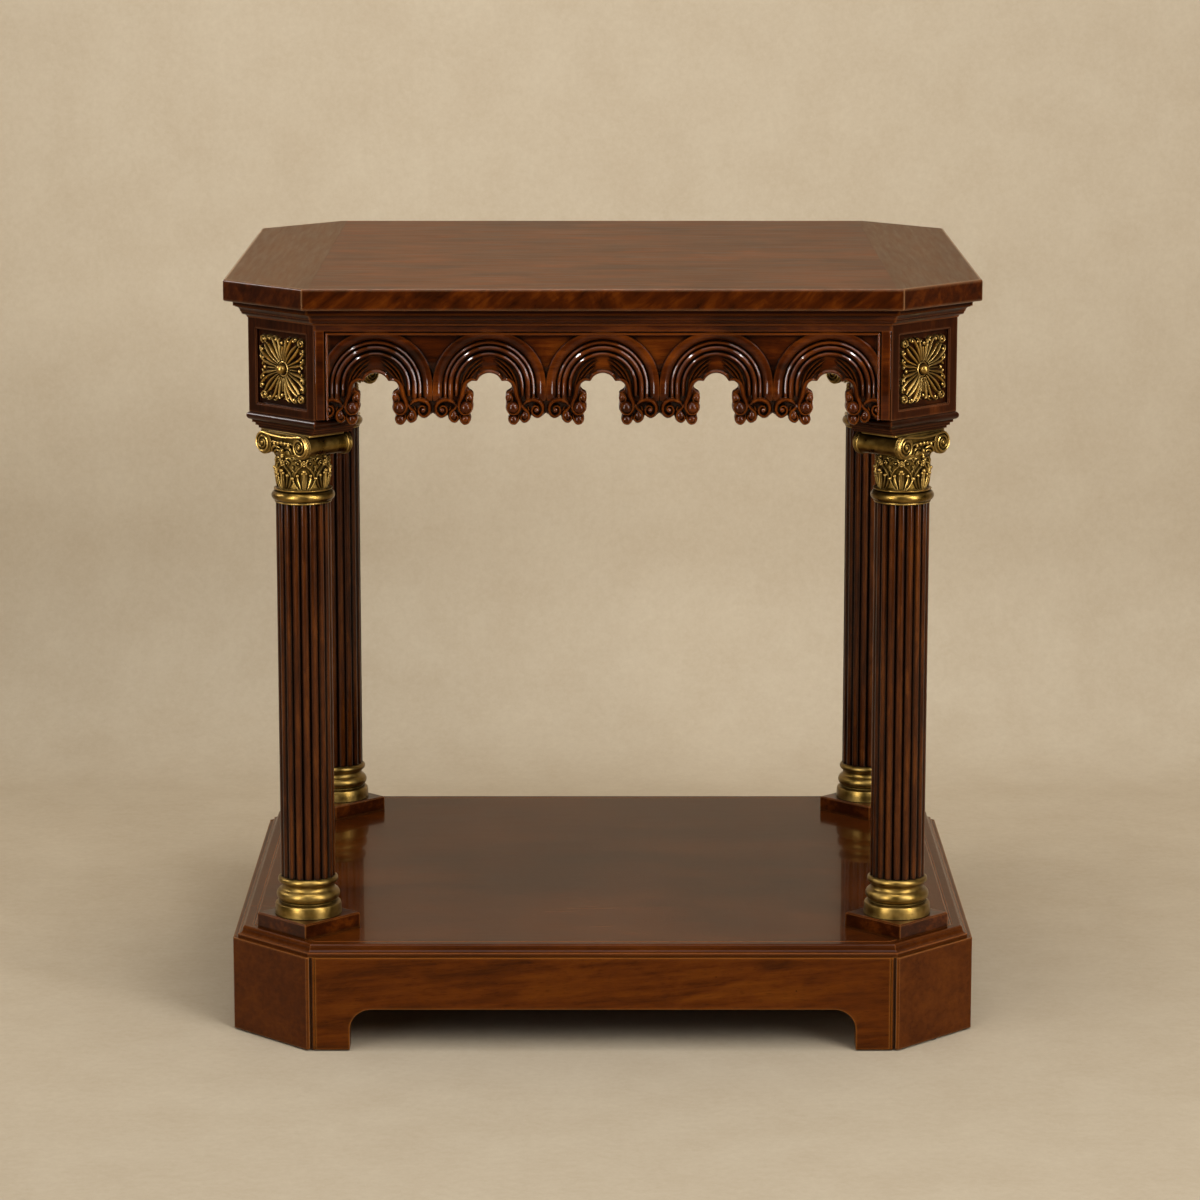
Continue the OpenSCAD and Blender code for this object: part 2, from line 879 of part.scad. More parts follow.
module column(i) {
  shaft_h = capital_z - shaft_z;
  reed_r = shaft_d / 2 * sin(180 / reed_count) * 0.93;
  core_r = shaft_d / 2 - reed_r;
  color(mahogany)
    at_corner(i)
      difference() {
        union() {
          translate([0, 0, shaft_z])
            linear_extrude(shaft_h) {
              circle(core_r);
              for (k = [0:reed_count - 1])
                rotate(k * 360 / reed_count)
                  translate([core_r, 0])
                    circle(reed_r);
            }
          translate([0, 0, plinth_top])
            cylinder(d = spigot_d, h = abacus_z - plinth_top);
        }
        translate([0, 0, plinth_top - 1])
          cylinder(r = rod_d / 2 + rod_fit, h = abacus_z - plinth_top + 2);
      }
}

// Turned brass base: a thin ring, a torus and a bell that flares to the foot

module brass_base(i) {
  thin_h = brass_base_h * 0.22;
  torus_h = brass_base_h * 0.38;
  bell_h = brass_base_h - thin_h - torus_h;
  thin_r = shaft_d / 2 + 2.8;
  torus_r = (thin_r + brass_base_r) / 2;
  color(brass)
    at_corner(i)
      translate([0, 0, plinth_top])
        difference() {
          rotate_extrude() {
            square([torus_r - 3.4, brass_base_h - 0.4]);
            translate([thin_r - thin_h / 2, brass_base_h - thin_h / 2])
              circle(thin_h / 2);
            translate([torus_r - torus_h / 2, bell_h + torus_h / 2])
              circle(torus_h / 2);
            square([brass_base_r, bell_h * 0.3]);
            intersection() {
              translate([brass_base_r - bell_h * 1.3, bell_h * 0.3])
                circle(bell_h * 1.3);
              square([brass_base_r, bell_h * 1.02]);
            }
          }
          translate([0, 0, -1])
            cylinder(d = spigot_d + 2 * fit, h = brass_base_h + 2);
        }
}

// Plinth block: a square turned with the cut corner, its top edge lightly chamfered

module plinth(i) {
  chamfer = 1.2;
  color(dark_mahogany)
    at_corner(i)
      translate([0, 0, platform_h])
        difference() {
          intersection() {
            span_prism(plinth_w, 2 * plinth_w)
              chamfered_edge(plinth_h, chamfer);
            rotate([0, 0, 90])
              span_prism(plinth_w, 2 * plinth_w)
                chamfered_edge(plinth_h, chamfer);
          }
          translate([0, 0, -1])
            cylinder(r = rod_d / 2 + rod_fit, h = plinth_h + 2);
        }
}

// Half section with the upper outer corner cut off
module chamfered_edge(h, chamfer) {
  polygon([[-plinth_w, 0], [0, 0], [0, h - chamfer], [-chamfer, h], [-plinth_w, h]]);
}

// Platform: a board let into the base, with a stepped edge over the rails

// Half section of the edge over its lower member: a cove that ends in a rounded arris
module platform_section() {
  h = edge_h - member_h;
  cove_x = edge_step - platform_setback;
  translate([-section_l, 0])
    square([section_l - platform_setback, h - platform_arris_r]);
  translate([-section_l, 0])
    square([section_l - platform_setback - platform_arris_r, h]);
  translate([-platform_setback - platform_arris_r, h - platform_arris_r])
    circle(platform_arris_r);
  difference() {
    translate([-section_l, 0])
      square([section_l + cove_x - cove_land, edge_step]);
    translate([cove_x, edge_step])
      circle(edge_step);
  }
}

module platform() {
  color(mahogany)
    difference() {
      union() {
        translate([0, 0, board_z])
          linear_extrude(platform_t)
            polygon(octagon(table_w, table_d, base_cut, rail_t + fit));
        translate([0, 0, rail_top])
          linear_extrude(member_h)
            polygon(octagon(table_w, table_d, base_cut, platform_setback - edge_step));
        translate([0, 0, rail_top + member_h])
          moulded_octagon(table_w, table_d, base_cut)
            platform_section();
      }
      translate([0, 0, platform_h - scribe_sink])
        linear_extrude(2 * scribe_sink)
          difference() {
            polygon(octagon(table_w, table_d, base_cut, platform_setback + scribe_in));
            polygon(octagon(table_w, table_d, base_cut, platform_setback + scribe_in + scribe_w));
          }
      for (i = [0:3])
        at_corner(i)
          translate([0, 0, board_z - 1])
            cylinder(r = rod_d / 2 + rod_fit, h = platform_t + 2);
    }
}

// Base rails with a beaded joint at each end and a bracket cut-out

function rail_l(side) = (side % 2 == 0 ? table_w : table_d) - 2 * base_cut - 2 * post_return;

// Places its children on a base face: X along it, Y up, Z out of it
module on_base_side(side) {
  rotate([0, 0, 90 * side])
    translate([0, -(side % 2 == 0 ? table_d : table_w) / 2, 0])
      rotate([90, 0, 0])
        children();
}

// Splines at both ends of a base rail, which the corner pieces' grooves follow
module splines(side, grow) {
  l = rail_l(side);
  h = rail_top - glide_t - 16;
  for (s = [-1, 1])
    translate([s * (l / 2 + spline_l / 2 - 1), glide_t + 8 + h / 2, -rail_t * 0.62])
      cube([spline_l + 2 + 2 * grow, h + 2 * grow, spline_t + 2 * grow], center = true);
}

module bracket_opening(l) {
  half = l / 2 + post_return - foot_w;
  translate([-half, -1])
    square([2 * half, bracket_h - bracket_r + 1]);
  translate([-half + bracket_r, 0])
    square([2 * (half - bracket_r), bracket_h]);
  for (s = [-1, 1])
    translate([s * (half - bracket_r), bracket_h - bracket_r])
      circle(bracket_r);
}

module base_rail(side) {
  l = rail_l(side);
  h = rail_top - glide_t;
  color(mahogany)
    on_base_side(side) {
      difference() {
        translate([-l / 2, glide_t, -rail_t])
          cube([l, h, rail_t]);
        translate([0, 0, -rail_t - 1])
          linear_extrude(rail_t + 2)
            bracket_opening(l);
        for (s = [0, 1])
          mirror([s, 0, 0]) {
            translate([l / 2 - rail_quirk / 2, h, -1])
              cube([rail_quirk, 3 * h, 4], center = true);
            translate([l / 2 - rail_quirk - 2 * rail_bead_r, -1, -rail_bead_r])
              cube([2 * rail_bead_r, 2 * h, 2 * rail_bead_r]);
          }
      }
      for (s = [0, 1])
        mirror([s, 0, 0])
          translate([l / 2 - rail_quirk - rail_bead_r, glide_t, -rail_bead_r])
            rotate([-90, 0, 0])
              cylinder(r = rail_bead_r, h = h);
      splines(side, 0);
    }
}

// Base corner pieces: a board across each cut corner that turns a little onto both faces

module base_corner(i) {
  sx = CORNER_SIGN[i].x;
  sy = CORNER_SIGN[i].y;
  x = table_w / 2;
  y = table_d / 2;
  k = base_cut + post_return;
  color(mahogany)
    difference() {
      translate([0, 0, glide_t])
        linear_extrude(rail_top - glide_t)
          polygon([[sx * x, sy * (y - k)], [sx * x, sy * (y - base_cut)],
                   [sx * (x - base_cut), sy * y], [sx * (x - k), sy * y],
                   [sx * (x - k), sy * (y - rail_t)], [sx * (x - rail_t), sy * (y - k)]]);
      for (side = [0:3])
        on_base_side(side)
          splines(side, fit);
    }
}

// Hidden joinery

// Glue blocks: each fills a base corner behind the corner piece, and the tie rod pulls on it
module glue_blocks() {
  k = base_cut + post_return;
  x = table_w / 2 - rail_t;
  y = table_d / 2 - rail_t;
  color(inner_wood)
    for (i = [0:3])
      difference() {
        translate([0, 0, board_z - glue_block_h])
          linear_extrude(glue_block_h)
            polygon([for (p = [[x, y - glue_block_leg], [x, y + rail_t - k],
                               [x + rail_t - k, y], [x - glue_block_leg, y]])
                     [CORNER_SIGN[i].x * p.x, CORNER_SIGN[i].y * p.y]]);
        at_corner(i)
          cylinder(r = rod_d / 2 + rod_fit, h = table_h);
      }
}

// Places its children on the slab's underside, at the middle of each top block
module at_top_blocks() {
  for (side = [0:3])
    rotate([0, 0, 90 * side])
      for (s = [-1, 1])
        translate([s * apron_l(side) / 4, block_back(side), slab_z])
          children();
}

function block_back(side) = -(side % 2 == 0 ? frieze_d : frieze_w) / 2 + apron_t + block_t / 2;

module top_blocks() {
  color(inner_wood)
    at_top_blocks()
      translate([0, 0, -block_h])
        difference() {
          translate([-block_w / 2, -block_t / 2, 0])
            cube([block_w, block_t, block_h]);
          translate([0, 0, -1])
            cylinder(d = screw_d + 2 * fit, h = block_h + 2);
        }
}

module top_screws() {
  color(steel)
    at_top_blocks() {
      translate([0, 0, -block_h])
        cylinder(d = screw_d, h = block_h + screw_bite);
      translate([0, 0, -block_h - screw_head_h])
        cylinder(d = 2 * screw_d, h = screw_head_h);
    }
}

module tie_rods() {
  color(steel)
    for (i = [0:3])
      at_corner(i)
        translate([0, 0, rod_low])
          cylinder(d = rod_d, h = rod_high - rod_low);
}

module rod_nuts() {
  color(steel)
    for (i = [0:3], z = [low_washer_z - nut_h, high_washer_z + washer_t])
      at_corner(i)
        translate([0, 0, z])
          difference() {
            cylinder(d = nut_af / cos(30), h = nut_h, $fn = 6);
            translate([0, 0, -1])
              cylinder(d = rod_d, h = nut_h + 2);
          }
}

module rod_washers() {
  color(steel)
    for (i = [0:3], z = [low_washer_z, high_washer_z])
      at_corner(i)
        translate([0, 0, z])
          difference() {
            cylinder(r = washer_r, h = washer_t);
            translate([0, 0, -1])
              cylinder(r = rod_d / 2 + fit, h = washer_t + 2);
          }
}

module glides() {
  color(felt)
    for (i = [0:3])
      translate([CORNER_SIGN[i].x * (table_w / 2 - glide_in),
                 CORNER_SIGN[i].y * (table_d / 2 - glide_in), 0])
        cylinder(d = glide_d, h = glide_t);
}

table_top();
field_veneer();
end_veneer(-1);  // left_end_veneer
end_veneer(1);  // right_end_veneer
for (i = [0:3]) {
  cornice(2 * i);
  cornice((2 * i + 7) % 8);
  post(i);
  rosette(i);
  apron(i);
  abacus(i);
  capital(i);
  column(i);
  brass_base(i);
  plinth(i);
}
platform();
for (i = [0:3]) {
  base_rail(i);
  base_corner(i);
}
glue_blocks();
top_blocks();
top_screws();
tie_rods();
rod_nuts();
rod_washers();
glides();
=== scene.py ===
"""Looks of an octagonal side table: polished mahogany with a carved arcade under the top, and
cast and turned brass on its four reeded columns.

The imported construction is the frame. This script gives its nodes their finishes and replaces the
carved aprons, the capitals, the rosettes and the brass bases with fully modelled ones.
"""

import logging
import math
from collections.abc import Iterable, Sequence
from dataclasses import dataclass, field, replace
from enum import Enum

import bmesh
import bpy
from mathutils import Matrix, Vector


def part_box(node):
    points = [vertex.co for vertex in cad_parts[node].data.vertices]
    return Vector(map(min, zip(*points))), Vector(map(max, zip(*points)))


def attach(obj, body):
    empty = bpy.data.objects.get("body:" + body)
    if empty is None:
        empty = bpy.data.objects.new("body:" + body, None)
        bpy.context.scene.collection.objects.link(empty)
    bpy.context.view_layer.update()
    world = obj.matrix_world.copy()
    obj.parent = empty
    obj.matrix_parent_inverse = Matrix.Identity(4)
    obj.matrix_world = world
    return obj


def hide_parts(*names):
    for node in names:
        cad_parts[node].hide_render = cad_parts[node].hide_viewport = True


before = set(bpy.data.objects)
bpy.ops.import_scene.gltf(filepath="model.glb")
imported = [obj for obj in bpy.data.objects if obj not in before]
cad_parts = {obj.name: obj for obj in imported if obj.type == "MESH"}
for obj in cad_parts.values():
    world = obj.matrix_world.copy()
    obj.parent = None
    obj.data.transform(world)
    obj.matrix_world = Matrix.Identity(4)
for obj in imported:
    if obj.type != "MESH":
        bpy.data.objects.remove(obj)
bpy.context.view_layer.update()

log = logging.getLogger("side_table")

MM = 0.001

# Settings of a Mix node that mixes colours
COLOURS = {"data_type": "RGBA", "clamp_result": True}


class Side(Enum):
    """The four long faces, by their number of quarter turns from the front."""

    FRONT = 0
    RIGHT = 1
    BACK = 2
    LEFT = 3


class Corner(Enum):
    """The four cut corners, by the turn of their outward face in degrees."""

    FRONT_LEFT = -45
    FRONT_RIGHT = 45
    BACK_RIGHT = 135
    BACK_LEFT = 225


class Grain(Enum):
    """The direction of a piece's grain, as the turn that brings it onto the X axis."""

    ALONG_X = (0.0, 0.0, 0.0)
    ALONG_Y = (0.0, 0.0, math.radians(-90))
    UPRIGHT = (0.0, math.radians(90), 0.0)
    SLANTED = (0.0, math.radians(38), 0.0)
    RISING = (0.0, math.radians(5), 0.0)


# Finishes


def linear(hex_colour: str) -> tuple[float, float, float, float]:
    """Turns an sRGB hex colour to linear RGBA.

    Args:
        hex_colour: The colour, such as "#5b3315".

    Returns:
        Red, green, blue and full alpha.
    """

    def channel(start: int) -> float:
        """Gives the linear value of the two digits from start."""
        value = int(hex_colour[start : start + 2], 16) / 255
        return value / 12.92 if value <= 0.04045 else ((value + 0.055) / 1.055) ** 2.4

    return (channel(1), channel(3), channel(5), 1.0)


def per_metre(size_mm: float) -> float:
    """Gives the scale at which a texture's cell is size_mm wide on Object coordinates."""
    return 1000 / size_mm


def blank(name: str) -> bpy.types.Material:
    """Makes a material with an empty node tree.

    Args:
        name: The material's name.

    Returns:
        The material.
    """
    material = bpy.data.materials.new(name)
    material.use_nodes = True
    material.node_tree.nodes.clear()
    return material


def add(
    tree: bpy.types.NodeTree, kind: str, inputs: dict | Sequence = (), out: str = "", **settings
) -> bpy.types.NodeSocket | None:
    """Adds a node with its settings and links.

    Args:
        tree: The material's node tree.
        kind: The node's type without its "ShaderNode", such as "Mix".
        inputs: Sockets to link or values to set, by the inputs' names, or in the order of the
            inputs in use.
        out: Name of the output that is wanted, where it isn't the first one in use.
        settings: Attributes of the node itself. A colour ramp's stops are pairs of position and
            sRGB hex colour.

    Returns:
        The wanted output, or None for a node that has no outputs.
    """
    stops = settings.pop("stops", ())
    node = tree.nodes.new("ShaderNode" + kind)
    for name, value in settings.items():
        setattr(node, name, value)
    if isinstance(inputs, dict):
        pairs = [(node.inputs[name], value) for name, value in inputs.items()]
    else:
        pairs = zip([socket for socket in node.inputs if socket.enabled], inputs)
    for socket, value in pairs:
        if isinstance(value, bpy.types.NodeSocket):
            tree.links.new(value, socket)
        else:
            socket.default_value = value
    if stops:
        marks = node.color_ramp.elements
        while len(marks) < len(stops):
            marks.new(0.5)
        for mark, (position, colour) in zip(marks, stops):
            mark.position = position
            mark.color = linear(colour)
    if out:
        return node.outputs[out]
    return next((socket for socket in node.outputs if socket.enabled), None)


@dataclass(frozen=True)
class PolishedMahogany:
    """Mahogany, stained, glazed and French polished.

    Attributes:
        name: The material's name.
        grain: Direction of the grain on the piece.
        deep: Colour of the darkest streaks.
        body: Colour of the ground.
        glow: Colour of the lightest figure.
        figure_mm: Size of the cloudy figure across the grain.
        figure: Strength of the cloudy figure.
        stretch: How much longer than wide the figure is along the grain.
        bend: How far the figure is bent out of line, in metres.
        glaze_and_shade: How dark the recesses get, from glazing and from painted shade.
        glaze_and_shade_mm: How far that darkening looks around for a recess.
        shut_at: Share of open sky at which a surface is fully darkened.
        open_at: Share of open sky at which a surface is left undarkened.
        edge_lightening: How much the outward edges are lightened, partly as wear and partly as a painted
            highlight.
        lightened: Colour of the lightened edges and arrises, partly wear and partly painted highlight.
        line: Strength of the lighter, glossier line along the sharp arrises: partly wear, partly a
            painted highlight.
        streak: Strength of the growth layers' streaks.
        soft_mm: Radius of the softened arrises.
        specks: Darkness of the dents and ink specks of the distressed finish.
        rough: Roughness of the polish.
        reflect: Strength of the colour coat's reflection.
        coat: Weight of the clear polish over the colour.
        coat_rough: Roughness of that polish.
    """

    name: str
    grain: Grain = Grain.ALONG_X
    deep: str = "#1e0800"
    body: str = "#481b03"
    glow: str = "#78390b"
    figure_mm: float = 34.0
    figure: float = 0.75
    stretch: float = 3.0
    bend: float = 0.05
    glaze_and_shade: float = 0.9
    glaze_and_shade_mm: float = 7.0
    shut_at: float = 0.3
    open_at: float = 0.88
    edge_lightening: float = 0.5
    lightened: str = "#7a3c10"
    line: float = 0.5
    streak: float = 0.16
    soft_mm: float = 0.7
    specks: float = 0.55
    rough: float = 0.34
    reflect: float = 0.13
    coat: float = 0.3
    coat_rough: float = 0.08

    def on_the_sides(self) -> "PolishedMahogany":
        """Gives the same finish with its grain along the side faces."""
        return replace(self, name=f"{self.name}_side", grain=Grain.ALONG_Y)

    def build(self) -> bpy.types.Material:
        """Makes the material.

        Returns:
            The finished material.
        """
        material = blank(self.name)
        tree = material.node_tree
        place = add(tree, "TexCoord", out="Object")
        along = add(tree, "Mapping", {"Vector": place, "Rotation": self.grain.value})

        def stretched(factor: float) -> bpy.types.NodeSocket:
            """Draws the pattern out along the grain by a factor."""
            return add(tree, "Mapping", {"Vector": along, "Scale": (1 / factor, 1.0, 1.0)})

        # The cloudy figure of crotch and swirl veneers, bent by a second, larger noise
        bend = add(
            tree, "TexNoise",
            {"Vector": stretched(2.0), "Scale": per_metre(self.figure_mm * 2.2), "Detail": 2.0},
            out="Color",
        )
        drift = (self.bend, self.bend, self.bend)
        bent = add(
            tree, "VectorMath", (bend, drift, stretched(self.stretch)), operation="MULTIPLY_ADD"
        )
        cloud = add(
            tree, "TexNoise",
            {"Vector": bent, "Scale": per_metre(self.figure_mm), "Detail": 6.0, "Roughness": 0.6},
        )
        # Growth layers show as streaks a few millimetres apart
        streak = add(
            tree, "TexNoise",
            {"Vector": stretched(14.0), "Scale": per_metre(5.0), "Detail": 5.0, "Roughness": 0.6},
        )
        # Open pores show as dark flecks; they are 0.15 mm wide and drawn at 0.9 mm to show
        pores = add(
            tree, "TexNoise", {"Vector": stretched(9.0), "Scale": per_metre(0.9), "Detail": 2.0}
        )
        low, high = 0.5 - self.figure / 2, 0.5 + self.figure / 2
        figured = add(tree, "MapRange", (cloud, 0.36, 0.66, low, high))
        layered = add(tree, "MapRange", (streak, 0.35, 0.65, -self.streak, self.streak))
        tone = add(tree, "Math", (figured, layered), operation="ADD", use_clamp=True)
        tones = ((0.0, self.deep), (0.5, self.body), (1.0, self.glow))
        wood = add(tree, "ValToRGB", {"Fac": tone}, stops=tones)
        fleck = add(tree, "MapRange", (pores, 0.56, 0.7, 0.0, 0.35))
        flecked = add(
            tree, "Mix", (fleck, wood, linear("#2a1208")), blend_type="MULTIPLY", **COLOURS
        )
        # Dents and ink specks of the distressed finish, one in some of the 15 mm cells
        dent = add(tree, "TexVoronoi", {"Vector": place, "Scale": per_metre(15.0)})
        chosen = add(
            tree, "MapRange", (dent.node.outputs["Color"], 0.62, 0.64, 0.0, self.specks)
        )
        spot = add(tree, "MapRange", (dent, 0.025, 0.06, 1.0, 0.0))
        dented = add(tree, "Math", (spot, chosen), operation="MULTIPLY")
        marked = add(tree, "Mix", (dented, flecked, linear("#0c0401")), **COLOURS)
        # Hands and dusters wear the stain through on the outward edges; the lighter edges are also a
        # painted highlight along the crests
        inside = add(
            tree, "AmbientOcclusion", {"Distance": 2.2 * MM}, out="AO", samples=6, inside=True
        )
        edge = add(tree, "MapRange", (inside, 0.4, 0.95, self.edge_lightening, 0.0))
        edge_wear_and_highlight = add(tree, "Mix", (edge, marked, linear(self.lightened)), **COLOURS)
        # The softened arrises get a lighter line, partly wear and partly a painted highlight, and a
        # glossier coat that catches a thin line of light
        soft = add(tree, "Bevel", {"Radius": self.soft_mm * MM}, samples=4)
        plain = add(tree, "NewGeometry", out="Normal")
        turn = add(tree, "VectorMath", (soft, plain), operation="DOT_PRODUCT")
        bright = add(tree, "MapRange", (turn, 0.8, 0.985, self.line, 0.0))
        arris_wear_and_highlight = add(tree, "Mix", (bright, edge_wear_and_highlight, linear(self.lightened)), **COLOURS)
        gleam = self.coat
        if self.line > self.coat:
            gleam = add(tree, "MapRange", (turn, 0.78, 0.98, self.line, self.coat))
        # Dark glazing stays in the recesses, and the same darkening paints the shade that falls there
        sky = add(
            tree, "AmbientOcclusion", {"Distance": self.glaze_and_shade_mm * MM}, out="AO", samples=6
        )
        recess_mask = add(tree, "MapRange", (sky, self.shut_at, self.open_at, self.glaze_and_shade, 0.0))
        glazed_and_shaded = add(tree, "Mix", (recess_mask, arris_wear_and_highlight, linear("#060200")), **COLOURS)
        rough = add(tree, "MapRange", (streak, 0.3, 0.7, self.rough * 0.85, self.rough * 1.2))
        bump = add(
            tree, "Bump",
            {"Height": pores, "Strength": 0.08, "Distance": 0.1 * MM, "Normal": soft},
        )
        shader = add(
            tree, "BsdfPrincipled",
            {
                "Base Color": glazed_and_shaded,
                "Roughness": rough,
                "Normal": bump,
                # The stain under the polish warms what the colour coat reflects
                "Specular IOR Level": self.reflect,
                "Specular Tint": linear("#c8641e"),
                "Coat Weight": gleam,
                "Coat Roughness": self.coat_rough,
            },
        )
        add(tree, "OutputMaterial", {"Surface": shader})
        return material


@dataclass(frozen=True)
class AgedBrass:
    """Brass, cast or turned, lacquered over a dark patina.

    Attributes:
        name: The material's name.
        bright: Colour where hands and cloth keep it polished.
        dull: Colour of the open surface.
        patina: Colour left in the hollows.
        reach_mm: How far the patina reaches out of the hollows.
        rough: Roughness of the open surface.
        edge_lightening: How much the crests are polished.
        pitted: Strength of the casting's sandy surface.
    """

    name: str
    bright: str = "#c09c56"
    dull: str = "#5f4719"
    patina: str = "#110700"
    reach_mm: float = 5.0
    rough: float = 0.3
    edge_lightening: float = 0.6
    pitted: float = 0.12

    def build(self) -> bpy.types.Material:
        """Makes the material.

        Returns:
            The finished material.
        """
        material = blank(self.name)
        tree = material.node_tree
        place = add(tree, "TexCoord", out="Object")
        blotch = add(tree, "TexNoise", {"Vector": place, "Scale": per_metre(9.0), "Detail": 4.0})
        # The moulding sand's marks are 0.3 mm wide and drawn at 0.9 mm to show
        sand = add(tree, "TexNoise", {"Vector": place, "Scale": per_metre(0.9), "Detail": 2.0})
        inside = add(
            tree, "AmbientOcclusion", {"Distance": 2.5 * MM}, out="AO", samples=6, inside=True
        )
        crest = add(tree, "MapRange", (inside, 0.35, 0.95, self.edge_lightening, 0.0))
        metal = add(tree, "Mix", (crest, linear(self.dull), linear(self.bright)), **COLOURS)
        handled = add(tree, "MapRange", (blotch, 0.35, 0.7, 0.0, 0.35))
        lightened = add(tree, "Mix", (handled, metal, linear(self.bright)), **COLOURS)
        sky = add(
            tree, "AmbientOcclusion", {"Distance": self.reach_mm * MM}, out="AO", samples=6
        )
        recess_mask = add(tree, "MapRange", (sky, 0.35, 0.95, 0.96, 0.0))
        aged = add(tree, "Mix", (recess_mask, lightened, linear(self.patina)), **COLOURS)
        polish = add(tree, "MapRange", (blotch, 0.3, 0.7, self.rough * 0.8, self.rough * 1.25))
        crust = add(tree, "MapRange", (recess_mask, 0.0, 1.0, 0.0, 0.3))
        rough = add(tree, "Math", (polish, crust), operation="ADD")
        soft = add(tree, "Bevel", {"Radius": 0.4 * MM}, samples=4)
        bump = add(
            tree, "Bump",
            {"Height": sand, "Strength": self.pitted, "Distance": 0.15 * MM, "Normal": soft},
        )
        shader = add(
            tree, "BsdfPrincipled",
            {"Base Color": aged, "Metallic": 1.0, "Roughness": rough, "Normal": bump},
        )
        add(tree, "OutputMaterial", {"Surface": shader})
        return material


@dataclass(frozen=True)
class PlainFinish:
    """An unpolished inner material: raw wood, zinc-plated steel or felt.

    Attributes:
        name: The material's name.
        light: Lighter colour of the pattern.
        dark: Darker colour of the pattern.
        cell_mm: Size of the pattern.
        stretch: How much longer than wide it is along X.
        rough: Roughness.
        metallic: 1 for bare metal.
    """

    name: str
    light: str
    dark: str
    cell_mm: float
    stretch: float = 1.0
    rough: float = 0.7
    metallic: float = 0.0

    def build(self) -> bpy.types.Material:
        """Makes the material.

        Returns:
            The finished material.
        """
        material = blank(self.name)
        tree = material.node_tree
        place = add(tree, "TexCoord", out="Object")
        drawn = add(tree, "Mapping", {"Vector": place, "Scale": (1 / self.stretch, 1.0, 1.0)})
        noise = add(
            tree, "TexNoise",
            {"Vector": drawn, "Scale": per_metre(self.cell_mm), "Detail": 5.0},
        )
        tones = ((0.3, self.dark), (0.7, self.light))
        colour = add(tree, "ValToRGB", {"Fac": noise}, stops=tones)
        bump = add(tree, "Bump", {"Height": noise, "Strength": 0.3, "Distance": 0.2 * MM})
        shader = add(
            tree, "BsdfPrincipled",
            {
                "Base Color": colour,
                "Roughness": self.rough,
                "Metallic": self.metallic,
                "Normal": bump,
            },
        )
        add(tree, "OutputMaterial", {"Surface": shader})
        return material


def dress(names: Iterable[str], material: bpy.types.Material) -> None:
    """Gives frame nodes a material.

    Args:
        names: The nodes' names.
        material: The material for every slot of theirs.
    """
    for name in names:
        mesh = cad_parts[name].data
        mesh.materials.clear()
        mesh.materials.append(material)
        log.info("dressed %s with %s", name, material.name)


def corner_names(suffix: str) -> list[str]:
    """Gives the names of the four corner nodes of a kind."""
    return [f"{corner.name.lower()}_{suffix}" for corner in Corner]


def side_names(suffix: str, sides: Iterable[Side]) -> list[str]:
    """Gives the names of the nodes of a kind on the given sides."""
    return [f"{side.name.lower()}_{suffix}" for side in sides]


ACROSS = (Side.FRONT, Side.BACK)
DEEP = (Side.LEFT, Side.RIGHT)
# Nodes with a flat polished top
FLAT_TOPS = ("field_veneer", "left_end_veneer", "right_end_veneer", "platform")


# Carving tools

# Points closer than this are merged, in millimetres
MERGE = 0.002
# Faces that meet at more than this keep a sharp edge
SHARP_DEG = 38


@dataclass(frozen=True)
class Stroke:
    """One carved roll or leaf rib, drawn on a face.

    Attributes:
        stations: Place across and up the face, width and height of the roll at a few points, in
            millimetres; the points between follow a smooth curve.
        steps: Rings between two stations.
        base: Height of the roll's middle line over the ground.
        sides: Sides of the roll's section.
        lean: How far the crest leans to the left of the direction of travel, as a share of width.
    """

    stations: tuple[tuple[float, float, float, float], ...]
    steps: int = 6
    base: float = 0.0
    sides: int = 10
    lean: float = 0.0


def arc(centre: tuple[float, float], radius: float, start: float, end: float, count: int) -> list:
    """Gives points along a circle's arc.

    Args:
        centre: The circle's centre.
        radius: Its radius.
        start: Angle of the first point, in degrees.
        end: Angle of the last point, in degrees.
        count: Number of points.

    Returns:
        The points as pairs.
    """
    angles = [math.radians(start + (end - start) * k / (count - 1)) for k in range(count)]
    return [(centre[0] + radius * math.cos(a), centre[1] + radius * math.sin(a)) for a in angles]


def spiral(
    centre: tuple[float, float], outer: float, inner: float, start: float, turn: float, count: int
) -> list:
    """Gives points along a spiral.

    Args:
        centre: The spiral's centre.
        outer: Radius at its start.
        inner: Radius at its end.
        start: Angle of the start, in degrees.
        turn: Angle that it turns through, in degrees, negative for clockwise.
        count: Number of points.

    Returns:
        The points as pairs.
    """
    points = []
    for k in range(count):
        share = k / (count - 1)
        angle = math.radians(start + turn * share)
        radius = outer + (inner - outer) * share
        points.append((centre[0] + radius * math.cos(angle), centre[1] + radius * math.sin(angle)))
    return points


def catmull_rom(a: float, b: float, c: float, d: float, t: float) -> float:
    """Gives a value of the smooth curve through four values.

    Args:
        a: The value before the stretch.
        b: The value at its start.
        c: The value at its end.
        d: The value after it.
        t: Place on the stretch, from 0 at b to 1 at c.

    Returns:
        The curve's value there.
    """
    squared = (2 * a - 5 * b + 4 * c - d) * t * t
    cubed = (3 * b - a - 3 * c + d) * t**3
    return 0.5 * (2 * b + (c - a) * t + squared + cubed)


def smooth_run(points: Sequence[Sequence[float]], steps: int) -> list[list[float]]:
    """Runs a smooth curve through points of any dimension.

    Args:
        points: The points that the curve passes.
        steps: Points given for each stretch between two of them.

    Returns:
        The curve's points, ends included.
    """
    if steps == 1:
        return [list(p) for p in points]
    run = []
    last = len(points) - 1
    for k in range(last):
        near = [points[max(k - 1, 0)], points[k], points[k + 1], points[min(k + 2, last)]]
        for step in range(steps):
            run.append([catmull_rom(*values, step / steps) for values in zip(*near)])
    run.append(list(points[-1]))
    return run


